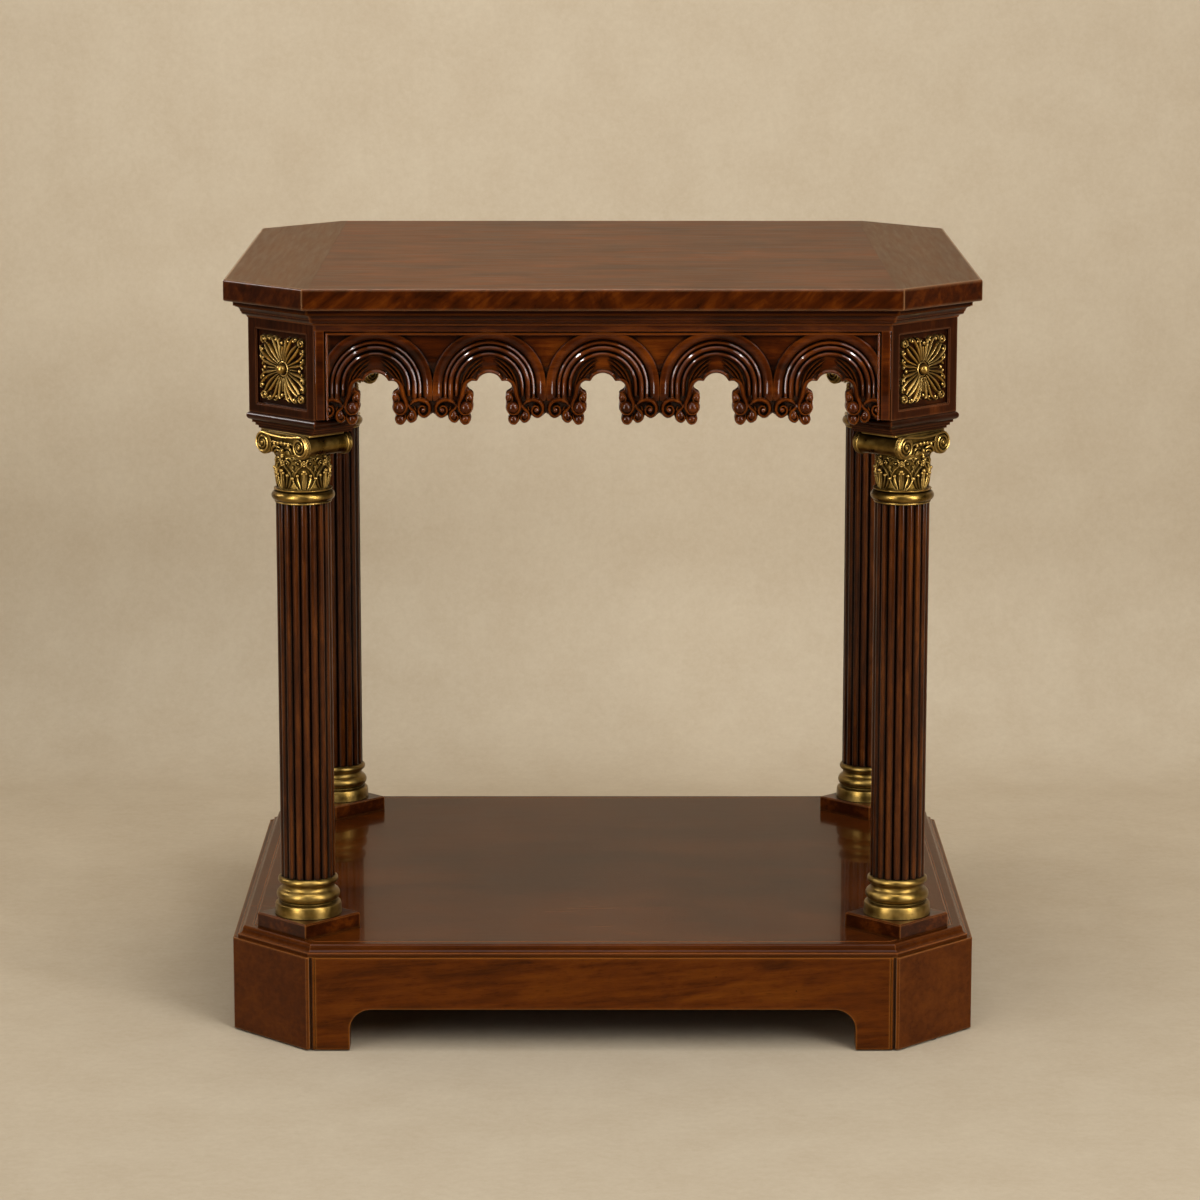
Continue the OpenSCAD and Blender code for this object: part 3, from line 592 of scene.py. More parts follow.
@dataclass
class Carving:
    """Relief made of closed shells: cut boards, rolls, leaf ribs and balls.

    It is drawn flat in millimetres, x across, y up and z out of the ground, then wrapped or
    placed on the table.

    Attributes:
        mesh: The shells that are drawn so far.
    """

    mesh: bmesh.types.BMesh = field(default_factory=bmesh.new)

    def roll(self, stroke: Stroke) -> None:
        """Sweeps a roll along a stroke.

        Args:
            stroke: The roll's stations and section.
        """
        rings = smooth_run(stroke.stations, stroke.steps)
        last = len(rings) - 1
        grid = bmesh.ops.create_grid(self.mesh, x_segments=last, y_segments=stroke.sides, size=0.5)
        for vert in grid["verts"]:
            k = round((vert.co.x + 0.5) * last)
            angle = -2 * math.pi * (vert.co.y + 0.5)
            x, y, width, height = rings[k]
            ahead, behind = rings[min(k + 1, last)], rings[max(k - 1, 0)]
            run = Vector((ahead[0] - behind[0], ahead[1] - behind[1])).normalized()
            across = math.cos(angle) * width / 2
            up = math.sin(angle)
            across += stroke.lean * width * max(up, 0.0)
            rise = height * up if up > 0 else 0.6 * height * up
            vert.co = (x - run.y * across, y + run.x * across, stroke.base + rise)
        bmesh.ops.remove_doubles(self.mesh, verts=grid["verts"], dist=MERGE)

    def ball(self, x: float, y: float, radius: float, rise: float = 0.0, tall: float = 1.0) -> None:
        """Adds a ball on the ground.

        Args:
            x: Place across.
            y: Place up.
            radius: Its radius.
            rise: Height of its centre over the ground.
            tall: How much taller than wide it is, up the face.
        """
        ball = bmesh.ops.create_uvsphere(self.mesh, u_segments=20, v_segments=12, radius=radius)
        bmesh.ops.scale(self.mesh, verts=ball["verts"], vec=(1.0, tall, 1.0))
        bmesh.ops.translate(self.mesh, verts=ball["verts"], vec=(x, y, rise))

    def board(self, outline: Sequence[Sequence[float]], low: float, high: float, soft: float) -> None:
        """Cuts a board to an outline and rounds its upper edge.

        Args:
            outline: The outline's points, in order.
            low: Height of its back over the ground.
            high: Height of its face over the ground.
            soft: Width of the rounding.
        """
        verts = [self.mesh.verts.new((p[0], p[1], low)) for p in outline]
        face = self.mesh.faces.new(verts)
        grown = bmesh.ops.extrude_face_region(self.mesh, geom=[face])
        top = [v for v in grown["geom"] if isinstance(v, bmesh.types.BMVert)]
        bmesh.ops.translate(self.mesh, verts=top, vec=(0.0, 0.0, high - low))
        if soft > 0:
            upper = set(top)
            rim = [e for v in top for e in v.link_edges if e.verts[0] in upper and e.verts[1] in upper]
            bmesh.ops.bevel(
                self.mesh, geom=list(set(rim)), offset=soft, offset_type="OFFSET", segments=2,
                profile=0.5, material=-1, affect="EDGES", clamp_overlap=True,
            )

    def bar(self, low: Sequence[float], high: Sequence[float], soft: float = 0.0) -> None:
        """Adds a square bar between two corners, with its edges rounded.

        Args:
            low: Its lowest corner.
            high: Its highest corner.
            soft: Width of the rounding.
        """
        cube = bmesh.ops.create_cube(self.mesh, size=1.0)
        size = Vector(high) - Vector(low)
        bmesh.ops.scale(self.mesh, verts=cube["verts"], vec=size)
        bmesh.ops.translate(self.mesh, verts=cube["verts"], vec=(Vector(low) + Vector(high)) / 2)
        if soft > 0:
            edges = list({e for v in cube["verts"] for e in v.link_edges})
            bmesh.ops.bevel(
                self.mesh, geom=edges, offset=soft, offset_type="OFFSET", segments=2,
                profile=0.5, material=-1, affect="EDGES",
            )

    def turned(self, profile: Sequence[Sequence[float]], steps: int) -> list:
        """Spins a profile of radius and height round the third axis.

        Args:
            profile: Pairs of radius and height.
            steps: Facets round the axis.

        Returns:
            The new vertices.
        """
        known = set(self.mesh.verts)
        verts = [self.mesh.verts.new((r, 0.0, z)) for r, z in profile]
        edges = [self.mesh.edges.new(pair) for pair in zip(verts, verts[1:])]
        bmesh.ops.spin(
            self.mesh, geom=verts + edges, cent=(0, 0, 0), axis=(0, 0, 1),
            angle=math.radians(360), steps=steps, use_merge=True,
        )
        new = [v for v in self.mesh.verts if v not in known]
        bmesh.ops.remove_doubles(self.mesh, verts=new, dist=MERGE)
        return [v for v in self.mesh.verts if v not in known]

    def everything(self) -> list:
        """Gives all the geometry, as the operators take it."""
        return self.mesh.verts[:] + self.mesh.edges[:] + self.mesh.faces[:]

    def mirrored(self, flip: tuple[float, float] = (-1.0, 1.0)) -> None:
        """Adds the mirror image of everything so far.

        Args:
            flip: -1 for the axis that is reversed, across or up.
        """
        copied = bmesh.ops.duplicate(self.mesh, geom=self.everything())
        verts = [g for g in copied["geom"] if isinstance(g, bmesh.types.BMVert)]
        faces = [g for g in copied["geom"] if isinstance(g, bmesh.types.BMFace)]
        bmesh.ops.scale(self.mesh, verts=verts, vec=(*flip, 1.0))
        bmesh.ops.reverse_faces(self.mesh, faces=faces)

    def stamp(self, motif: "Carving", matrix: Matrix) -> None:
        """Adds a copy of another carving.

        Args:
            motif: The carving to copy.
            matrix: Where the copy goes.
        """
        store = bpy.data.meshes.new("motif")
        motif.mesh.to_mesh(store)
        store.transform(matrix)
        if matrix.determinant() < 0:
            store.flip_normals()
        self.mesh.from_mesh(store)
        bpy.data.meshes.remove(store)

    def cut(self, point: Sequence[float], outward: Sequence[float]) -> None:
        """Cuts everything off beyond a plane, and closes the cut.

        Args:
            point: A point on the plane.
            outward: The direction from the plane to the side that goes.
        """
        cut = bmesh.ops.bisect_plane(
            self.mesh, geom=self.everything(), plane_co=point, plane_no=outward, clear_outer=True
        )
        edges = [g for g in cut["geom_cut"] if isinstance(g, bmesh.types.BMEdge) and g.is_boundary]
        bmesh.ops.holes_fill(self.mesh, edges=edges, sides=0)

    def wrap(self, radius: float) -> None:
        """Bends the flat drawing round an upright cylinder, its middle facing -Y.

        Args:
            radius: Radius of the cylinder on which the ground lies.
        """
        for vert in self.mesh.verts:
            angle = vert.co.x / radius
            out = radius + vert.co.z
            vert.co = (out * math.sin(angle), -out * math.cos(angle), vert.co.y)

    def finish(
        self, name: str, place: Matrix, material: bpy.types.Material, slot: str, nodes: Iterable[str]
    ) -> None:
        """Makes the finished piece.

        Args:
            name: The piece's name.
            place: From the drawing's millimetres to the frame's metres.
            material: Its finish.
            slot: The name of a material slot; not used.
            nodes: The frame nodes that it stands for.
        """
        bmesh.ops.transform(self.mesh, matrix=place, verts=self.mesh.verts[:])
        bmesh.ops.recalc_face_normals(self.mesh, faces=self.mesh.faces[:])
        for face in self.mesh.faces:
            face.smooth = True
        data = bpy.data.meshes.new(name)
        self.mesh.to_mesh(data)
        self.mesh.free()
        data.set_sharp_from_angle(angle=math.radians(SHARP_DEG))
        data.materials.append(material)
        piece = bpy.data.objects.new(name, data)
        bpy.context.scene.collection.objects.link(piece)
        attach(piece, "root")
        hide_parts(*nodes)
        log.info("%s: %d faces", name, len(data.polygons))


# Carved and cast pieces


def side_place(side: Side, face: float, height: float, depth: float) -> Matrix:
    """Gives the placement of a drawing on a long face.

    Args:
        side: The table's side.
        face: Distance of the face from the table's centre, in metres.
        height: Height of the drawing's origin, in metres.
        depth: How deep the drawing's ground lies behind the face, in millimetres.

    Returns:
        The matrix from the drawing's millimetres to the frame's metres.
    """
    turn = Matrix.Rotation(math.radians(90 * side.value), 4, "Z")
    stand = Matrix.Rotation(math.radians(90), 4, "X")
    return turn @ Matrix.Translation((0, depth * MM - face, height)) @ stand @ Matrix.Scale(MM, 4)


def corner_place(corner: Corner, height: float) -> Matrix:
    """Gives the placement of a piece round a column's axis.

    Args:
        corner: The table's corner.
        height: Height of the drawing's origin, in metres.

    Returns:
        The matrix from the drawing's millimetres, -Y facing out of the cut corner, to metres.
    """
    low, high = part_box(f"{corner.name.lower()}_column")
    turn = Matrix.Rotation(math.radians(corner.value), 4, "Z")
    foot = Vector(((low.x + high.x) / 2, (low.y + high.y) / 2, height))
    return Matrix.Translation(foot) @ turn @ Matrix.Scale(MM, 4)


@dataclass
class Arcade:
    """A carved apron: its fascia, stiles and bead, and an arcade with scrolled pendants.

    Heights are measured from the arches' centres, and all sizes are in millimetres.

    Attributes:
        side: The side of the table it closes.
        pitch: Distance between two arches.
        sink: Depth of the carved ground behind the face.
        thick: Thickness of the board.
        rise: Height of the field over the arches' centres.
        drop: Depth of the pendants' tips under the arches' centres.
        fascia: Height of the fascia that shows under the cornice.
        stile: Width of a stile up to its quirk.
        bead: Width of the bead round the field.
        quirk: Width of the quirk on each side of the bead.
        tongue: How far the frame node's tongues reach into the posts.
        foot: Depth of the stiles' feet under the arches' centres.
        hidden: Height of the board behind the cornice.
    """

    side: Side
    pitch: float = 103.0
    sink: float = 5.0
    thick: float = 20.0
    rise: float = 45.8
    drop: float = 35.1
    fascia: float = 5.6
    stile: float = 9.5
    bead: float = 2.6
    quirk: float = 1.0
    tongue: float = 2.0
    foot: float = 30.6
    hidden: float = 15.0

    def __post_init__(self) -> None:
        """Takes the apron's length, face and height from the frame."""
        self.node = f"{self.side.name.lower()}_apron"
        low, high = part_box(self.node)
        post_low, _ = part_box("front_left_post")
        across = self.side in ACROSS
        reach = (high - low).x if across else (high - low).y
        self.length = reach / MM - 2 * self.tongue
        self.face = abs(post_low.y if across else post_low.x)
        self.centre_z = low.z + self.drop * MM

    def build(self, material: bpy.types.Material) -> None:
        """Carves the apron.

        Args:
            material: Its finish.
        """
        half = self.length / 2 - self.stile - self.bead - 2 * self.quirk
        count = max(1, round(2 * half / self.pitch))
        field_part = Carving()
        bay = self.bay()
        start = -(count - 1) / 2 * self.pitch
        for k in range(count):
            field_part.stamp(bay, Matrix.Translation((start + k * self.pitch, 0, 0)))
        pendant = self.pendant()
        for k in range(count + 1):
            field_part.stamp(pendant, Matrix.Translation((start + (k - 0.5) * self.pitch, 0, 0)))
        field_part.board(self.outline(start, count), self.sink - self.thick, 0.0, 0.9)
        for sign in (1, -1):
            field_part.cut((sign * (half + self.quirk), 0.0, 0.0), (sign, 0.0, 0.0))
        apron = self.frame_part(half)
        apron.stamp(field_part, Matrix.Identity(4))
        place = side_place(self.side, self.face, self.centre_z, self.sink)
        apron.finish(f"{self.node}_carved", place, material, "carved_mahogany", [self.node])

    def opening(self) -> list:
        """Gives the right half of an opening's outline.

        Returns:
            Its points, from the head's top down to the middle of a pendant.
        """
        head = arc((0.0, -0.2), 12.0, 90, 25, 9)
        cusp = [(11.8, 4.4), (14.6, 4.7)]
        shoulder = arc((15.4, -0.3), 5.0, 78, -58, 9)
        curl = [(16.0, -5.6), (14.9, -7.2), (14.6, -10.5), (14.9, -13.2)]
        ball = arc((21.3, -19.2), 6.7, 156, 228, 7)
        tip = arc((21.9, -30.0), 5.1, 140, 312, 10)
        bud = arc((32.6, -27.6), 5.2, 205, 325, 9)
        volute = arc((43.4, -21.9), 7.0, 222, 305, 8)
        return head + cusp + shoulder + curl + ball + tip + bud + volute + [(51.5, -24.6)]

    def outline(self, start: float, count: int) -> list:
        """Gives the board's outline, from the left end along the openings and back over the top.

        Args:
            start: Place of the first arch's centre.
            count: Number of arches.

        Returns:
            The outline's points.
        """
        half = self.opening()
        mirrored = [(-x, y) for x, y in reversed(half)]
        end = start + (count - 1) * self.pitch
        # Past the outermost arches the outline goes on round a little of the next pendant
        middle = self.pitch / 2
        reach, neck = 20.0, -8.0
        tail = [(x, y) for x, y in half if middle - reach < x < middle and y < neck]
        lower = [(start - self.pitch + x, y) for x, y in tail]
        for k in range(count):
            centre = start + k * self.pitch
            lower += [(centre + x, y) for x, y in mirrored[1:] + half[1:-1]]
            lower.append((centre + middle, half[-1][1]))
        lower += [(end + self.pitch - x, y) for x, y in reversed(tail)]
        first, last = lower[0], lower[-1]
        return lower + [(last[0], self.rise + 1), (first[0], self.rise + 1)]

    def bay(self) -> Carving:
        """Draws the rolls, ribs and rims of one arch.

        Returns:
            The carving, with the arch's centre at its origin.
        """
        ribs = Carving()
        # The leaf's veins, which follow the opening's head
        veins = (
            (
                (25.2, -7, 1.0, 0.8), (24.6, 3, 2.2, 3.0), (20.6, 13.4, 2.4, 3.6),
                (13.2, 21.4, 2.0, 3.2), (6.2, 25.8, 0.5, 0.6),
            ),
            (
                (23.4, 1, 0.8, 0.8), (20.2, 8.2, 2.2, 3.4), (15.2, 15.0, 2.2, 3.6),
                (9.4, 20.4, 1.8, 2.8), (4.6, 23.6, 0.5, 0.6),
            ),
            (
                (19.4, 5.6, 0.8, 0.8), (16.2, 9.6, 2.0, 3.0), (11.6, 14.6, 2.0, 3.0),
                (6.4, 18.8, 0.5, 0.6),
            ),
        )
        for stations in veins:
            ribs.roll(Stroke(stations, steps=5, base=0.4, sides=8))
        # The leaf's rolled edge turns round the shoulder and runs down into the ball scroll
        ribs.roll(Stroke(
            (
                (12.4, 5.6, 1.2, 1.0), (16.2, 6.6, 3.4, 2.6), (21.2, 3.6, 4.4, 3.6),
                (23.6, -2.4, 4.8, 4.0), (24.9, -9.0, 5.0, 4.2), (27.2, -15.0, 4.6, 4.4),
                (27.4, -20.6, 4.0, 4.6), (24.2, -25.0, 3.4, 4.4), (19.2, -24.8, 2.8, 4.6),
                (16.2, -20.4, 2.2, 4.8), (18.4, -16.2, 1.6, 5.0),
            ),
            steps=5, base=0.6, sides=10,
        ))
        ribs.roll(Stroke(
            (
                (15.8, -7.4, 1.0, 1.0), (18.8, -7.6, 2.6, 2.0), (21.0, -11.2, 2.8, 2.4),
                (20.2, -14.6, 1.6, 2.0),
            ),
            steps=5, base=0.2,
        ))
        ribs.ball(21.4, -19.4, 6.0, 1.2)
        ribs.ball(18.2, -10.8, 3.7, -1.4, 1.15)
        # Tip: a small curled leaf under the ball
        ribs.ball(21.8, -30.4, 4.9, 0.2, 1.0)
        ribs.roll(Stroke(
            (
                (26.8, -25.2, 1.6, 1.4), (26.2, -30.0, 3.0, 3.6), (23.0, -34.0, 3.0, 4.2),
                (19.0, -32.6, 2.6, 4.8), (19.6, -29.2, 1.6, 4.8),
            ),
            steps=4, base=0.4,
        ))
        # Bud: the lower curl of the scroll that begins at the pendant's volute
        ribs.ball(32.5, -26.8, 4.3, 0.0, 1.25)
        ribs.roll(Stroke(
            (
                (28.6, -15.0, 1.6, 1.4), (30.6, -19.6, 3.6, 3.4), (35.2, -24.0, 4.0, 4.2),
                (35.4, -29.6, 3.6, 4.4), (31.4, -32.2, 3.2, 4.2), (28.4, -28.8, 2.6, 4.0),
                (30.6, -25.4, 1.8, 4.0),
            ),
            steps=4, base=0.4,
        ))
        ribs.mirrored()
        # The archivolt's rolls, by radius, width, height and lean
        rolls = (
            (46.5, 9.4, 4.2, 0.3), (39.4, 4.4, 3.6, 0.12),
            (34.6, 5.4, 4.8, 0.2), (29.5, 4.2, 3.8, 0.12),
        )
        for radius, width, height, lean in rolls:
            # The three outer rolls run further down than the inner one
            low = -13.5 if radius > 32 else -9.0
            foot = (-radius - 0.2, low, width * 0.86, height * 0.6)
            left_stem = [foot, (-radius, low + 5, width, height)]
            over = [(x, y, width, height) for x, y in arc((0, 0), radius, 180, 0, 19)]
            right_stem = [(-x, y, w, h) for x, y, w, h in reversed(left_stem)]
            ribs.roll(Stroke(tuple(left_stem + over + right_stem), steps=3, sides=12, lean=lean))
        # The opening's rim, thinned to nothing at both ends
        rim = [(x, y, 3.6, 2.8) for x, y in arc((0, -0.2), 14.0, 30, 150, 9)]
        rim[0] = (*rim[0][:2], 0.6, 0.4)
        rim[-1] = (*rim[-1][:2], 0.6, 0.4)
        ribs.roll(Stroke(tuple(rim), steps=2, sides=8))
        return ribs

    def pendant(self) -> Carving:
        """Draws the paired volutes of one pendant round its axis.

        Returns:
            The carving, with the pendant's axis at its origin.
        """
        pair = Carving()
        pair.roll(Stroke(
            (
                (21.6, -18.6, 1.4, 1.2), (18.2, -14.4, 4.2, 3.6), (12.6, -12.2, 5.0, 4.6),
                (6.8, -13.6, 5.0, 4.8), (3.2, -18.2, 4.8, 4.8), (3.6, -24.0, 4.4, 4.8),
                (7.6, -27.4, 4.0, 4.6), (11.8, -25.2, 3.6, 4.6), (12.8, -21.2, 3.2, 4.6),
                (10.6, -17.9, 2.8, 4.6), (7.4, -18.6, 2.4, 4.6), (6.8, -21.4, 1.8, 4.6),
            ),
            steps=4, base=0.4, sides=10,
        ))
        pair.ball(8.6, -21.6, 2.5, 3.2)
        pair.roll(Stroke(
            (
                (13.6, -23.4, 1.4, 1.0), (15.4, -21.4, 2.6, 3.0), (16.6, -18.2, 1.2, 2.4),
            ),
            steps=4, base=0.2,
        ))
        pair.mirrored()
        return pair

    def frame_part(self, half: float) -> Carving:
        """Joins the fascia, the stiles and the bead round the field.

        Args:
            half: Half the length of the carved field.

        Returns:
            The carving with the frame alone.
        """
        part = Carving()
        end = self.length / 2
        face, back = self.sink, self.sink - self.thick
        rim = self.rise + self.bead + 2 * self.quirk
        top = rim + self.fascia + self.hidden
        low = -self.foot
        outer = half + self.bead + 2 * self.quirk
        # The ground behind the bead, and the strip that laps the posts, lie behind the face
        ground, lap = face - 4.2, face - 1.6
        part.bar((-end, rim, back), (end, top, face), 0.3)
        for sign in (-1, 1):
            inner_x, outer_x = sorted((sign * outer, sign * (end - 1.2)))
            part.bar((inner_x, low, back), (outer_x, rim + 0.2, face), 0.3)
            edge_x, post_x = sorted((sign * (end - 1.6), sign * (end + 8)))
            part.bar((edge_x, low, back), (post_x, rim, lap))
            ground_x, stile_x = sorted((sign * half, sign * (outer + 0.5)))
            part.bar((ground_x, low, back), (stile_x, rim + 0.2, ground))
        part.bar((-outer, self.rise, back), (outer, rim + 0.3, ground))
        bead = self.bead / 2
        line = half + self.quirk + bead
        over = self.rise + self.quirk + bead
        path = ((-line, low), (-line, over), (line, over), (line, low))
        for (x0, y0), (x1, y1) in zip(path, path[1:]):
            ends = ((x0, y0, self.bead, bead), (x1, y1, self.bead, bead))
            part.roll(Stroke(ends, steps=1, base=face - bead, sides=12))
            low_x, high_x = sorted((x0, x1))
            low_y, high_y = sorted((y0, y1))
            over_y = high_y + bead * (x0 != x1)
            part.bar((low_x - bead, low_y, face - 5.0), (high_x + bead, over_y, face - bead))
        for sign in (-1, 1):
            part.ball(sign * line, over, bead, face - bead)
        # The ends are mitred against the posts
        for sign in (-1, 1):
            part.cut((sign * end, 0, face), (sign, 0, -1))
        return part


@dataclass
class Capital:
    """A cast brass capital: spiral volutes, side rolls, a pearled cushion, a leaf basket, a ring.

    Heights are measured from the capital's foot, and all sizes are in millimetres.

    Attributes:
        corner: The corner of the table where it stands.
        volute_x: Distance of a volute's centre from the axis.
        volute_z: Height of a volute's centre.
        volute_r: Radius of a volute.
        roll_half: Half the length of a side roll.
        roll_more: How much further it reaches at the back.
        basket_r: Radius of the ground of the basket.
        basket_low: Height of the basket's foot, on the ring.
        basket_high: Height of the basket's top.
        ring_r: Radius of the necking ring.
        top_z: Height of the capital.
        leaves: Number of leaf motifs round the basket.
        bore_r: Radius of the bore round the column's spigot.
        collar: Width of each of the three collars at a side roll's end.
        facets: Facets round the casting's axis.
        roll_facets: Facets round a side roll.
    """

    corner: Corner
    volute_x: float = 25.5
    volute_z: float = 54.7
    volute_r: float = 10.8
    roll_half: float = 25.5
    roll_more: float = 4.0
    basket_r: float = 22.6
    basket_low: float = 13.0
    basket_high: float = 45.5
    ring_r: float = 29.3
    top_z: float = 66.5
    leaves: int = 7
    bore_r: float = 15.2
    collar: float = 1.5
    facets: int = 64
    roll_facets: int = 40

    def build(self, material: bpy.types.Material) -> None:
        """Casts the capital.

        Args:
            material: Its finish.
        """
        casting = Carving()
        self.turn_ring(casting)
        leaf = self.leaf()
        basket = Carving()
        step = 2 * math.pi * self.basket_r / self.leaves
        for k in range(self.leaves):
            place = ((k + 0.5 - self.leaves / 2) * step, self.basket_low, 0)
            basket.stamp(leaf, Matrix.Translation(place))
        basket.wrap(self.basket_r)
        casting.stamp(basket, Matrix.Identity(4))
        for turn in (0, 180):
            reach = self.roll_half + (self.roll_more if turn else 0)
            spin = Matrix.Rotation(math.radians(turn), 4, "Z")
            stand = Matrix.Rotation(math.radians(90), 4, "X")
            casting.stamp(self.face(), spin @ Matrix.Translation((0, -reach, 0)) @ stand)
        for sign in (-1, 1):
            self.turn_side_roll(casting, sign)
        self.lay_plate(casting)
        node = f"{self.corner.name.lower()}_capital"
        low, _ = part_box(node)
        casting.finish(f"{node}_cast", corner_place(self.corner, low.z), material, "cast_brass", [node])

    def turn_ring(self, casting: Carving) -> None:
        """Turns the lip, the necking ring and the basket's ground.

        Args:
            casting: The casting that gets them.
        """
        torus = arc((self.ring_r - 4.6, 6.2), 4.6, -72, 72, 13)
        profile = [(self.bore_r, 0.0), (26.2, 0.0), (26.5, 0.7), (26.2, 1.4), (25.2, 1.6)] + torus
        profile += [(25.0, 11.0), (25.6, 11.3), (27.0, 12.2), (27.1, 12.9), (26.4, 13.2)]
        profile += [(24.0, 13.3), (self.basket_r + 0.8, 14.0), (self.basket_r, 15.0)]
        profile += [(self.basket_r, self.basket_high - 6)]
        profile += [(self.basket_r + 1.6, self.basket_high - 1.5)]
        profile += arc((self.basket_r - 0.6, self.basket_high + 1.2), 3.0, -50, 60, 7)
        profile += [(self.basket_r - 3, self.basket_high + 5), (self.bore_r, self.basket_high + 5)]
        casting.turned(profile + [(self.bore_r, 0.0)], self.facets)

    def leaf(self) -> Carving:
        """Draws one leaf motif of the basket, from its foot at the origin.

        Returns:
            The motif, drawn flat.
        """
        motif = Carving()
        tall = self.basket_high - self.basket_low
        # Lower leaf: ribs that fan out of the ring and curl over at their tips
        fan = (
            (
                (1.2, 0.0, 1.25, 1.4), (1.5, 6.0, 1.79, 2.6),
                (1.4, 11.5, 1.72, 3.0), (1.2, 15.5, 1.56, 3.8),
            ),
            (
                (2.6, 0.0, 1.09, 1.2), (4.2, 5.6, 1.72, 2.4),
                (5.4, 10.2, 1.72, 3.0), (5.6, 13.6, 1.56, 3.6),
            ),
            (
                (4.4, 0.0, 0.94, 1.0), (7.2, 4.2, 1.56, 2.2),
                (9.0, 8.0, 1.64, 2.8), (9.8, 11.0, 1.4, 3.2),
            ),
        )
        for stations in fan:
            motif.roll(Stroke(stations, steps=3, base=0.2, sides=7))
            x, y, _, _ = stations[-1]
            motif.ball(x, y + 0.3, 1.5, 2.4)
        # Scrolls that rise between the leaves and turn outwards under the cushion
        motif.roll(Stroke(
            (
                (9.2, 9.0, 1.09, 1.2), (8.2, 14.4, 1.72, 2.6), (5.6, 19.2, 1.87, 3.0),
                (2.4, 22.4, 1.72, 3.0), (2.2, 26.0, 1.56, 3.0), (5.2, 27.6, 1.48, 3.0),
                (7.4, 25.2, 1.33, 3.0), (5.8, 23.2, 1.09, 2.8),
            ),
            steps=4, base=0.2, sides=7,
        ))
        motif.ball(5.2, 25.2, 1.01, 2.2)
        motif.roll(Stroke(
            (
                (7.8, 16.4, 0.78, 1.0), (10.2, 19.2, 1.56, 2.4), (9.6, 23.0, 1.48, 2.6),
                (8.8, 20.6, 0.94, 2.4),
            ),
            steps=4, base=0.2, sides=7,
        ))
        motif.roll(Stroke(
            (
                (0.8, tall - 8.0, 1.2, 1.0), (4.0, tall - 3.8, 2.2, 2.6),
                (8.2, tall - 2.6, 2.0, 2.8), (9.8, tall - 5.4, 1.4, 2.6),
            ),
            steps=4, base=0.2, sides=7,
        ))
        motif.mirrored()
        # Midrib, flower and the leaf tip that folds over
        motif.roll(Stroke(
            (
                (0, 0, 1.8, 1.6), (0, 8, 2.2, 3.2), (0, 14, 2.4, 4.0), (0, 17.6, 2.2, 4.6),
            ),
            steps=3, base=0.2, sides=7,
        ))
        motif.ball(0, 18.0, 1.9, 3.6)
        for k in range(6):
            angle = math.radians(60 * k + 30)
            motif.ball(2.1 * math.cos(angle), 25.0 + 2.1 * math.sin(angle), 1.25, 1.9)
        motif.ball(0, 25.0, 1.3, 2.7)
        motif.ball(0, tall - 1.6, 1.8, 2.2)
        return motif

    def face(self) -> Carving:
        """Draws one face with its two volutes and the band between them.

        Returns:
            The face, drawn flat with its ground at the volutes' face.
        """
        drawn = Carving()
        x, z, r = self.volute_x, self.volute_z, self.volute_r
        run = [(0.0, z + r - 3.6, 2.2, 1.6), (x * 0.5, z + r - 2.9, 2.4, 1.8)]
        coil = spiral((x, z), r - 1.3, 2.2, 90, -810, 28)
        run += [(px, py, 2.6 - 1.0 * k / 27, 1.8 + 0.6 * k / 27) for k, (px, py) in enumerate(coil)]
        drawn.roll(Stroke(tuple(run), steps=3, base=0.0, sides=8))
        drawn.ball(x, z, 2.3, 0.6)
        drawn.roll(Stroke(
            (
                (0.0, z + r - 9.4, 1.6, 1.2), (x * 0.42, z + r - 8.6, 1.8, 1.4),
                (x - r * 0.9, z + 1.0, 1.6, 1.2),
            ),
            steps=5, base=-0.6, sides=8,
        ))
        drawn.roll(Stroke(
            (
                (3.5, z - 3.2, 1.2, 1.0), (8.5, z - 1.6, 3.0, 2.6), (12.8, z - 3.4, 2.8, 2.8),
                (14.4, z - 7.6, 1.6, 2.0),
            ),
            steps=4, base=-1.6, sides=8,
        ))
        drawn.roll(Stroke(
            (
                (4.2, z - 5.8, 1.0, 0.8), (8.6, z - 5.2, 2.4, 2.4), (11.4, z - 8.2, 1.4, 2.0),
            ),
            steps=4, base=-1.8, sides=8,
        ))
        drawn.mirrored()
        for k in range(-2, 3):
            drawn.ball(k * 4.9, z + 1.9 - 0.35 * k * k, 2.0, -0.4)
        drawn.ball(0, z - 5.2, 2.4, -1.0)
        drawn.ball(0, z - 9.2, 1.7, -1.4)
        return drawn

    def turn_side_roll(self, casting: Carving, sign: int) -> None:
        """Turns one side roll and lays it along the capital's flank.

        Args:
            casting: The casting that gets the roll.
            sign: -1 for the left flank and 1 for the right.
        """
        half, r = self.roll_half, self.volute_r
        rings = [(0.0, half), (r - 0.5, half)]
        place = half
        for _ in range(3):
            round_over = ((-0.1, 0.25), (0.0, 0.5), (-0.1, 0.8), (-0.8, 1.0))
            rings += [(r + step, place - self.collar * share) for step, share in round_over]
            place -= self.collar
        profile = rings + [(r - 1.0, place - 1.6), (r - 1.5, place - 5), (r - 1.75, 0.0)]
        profile += [(radius, -z - self.roll_more) for radius, z in reversed(profile[:-1])]
        new = casting.turned(profile, self.roll_facets)
        lay = Matrix.Rotation(math.radians(90), 4, "X")
        lift = Matrix.Translation((sign * self.volute_x, 0, self.volute_z))
        bmesh.ops.transform(casting.mesh, matrix=lift @ lay, verts=new)

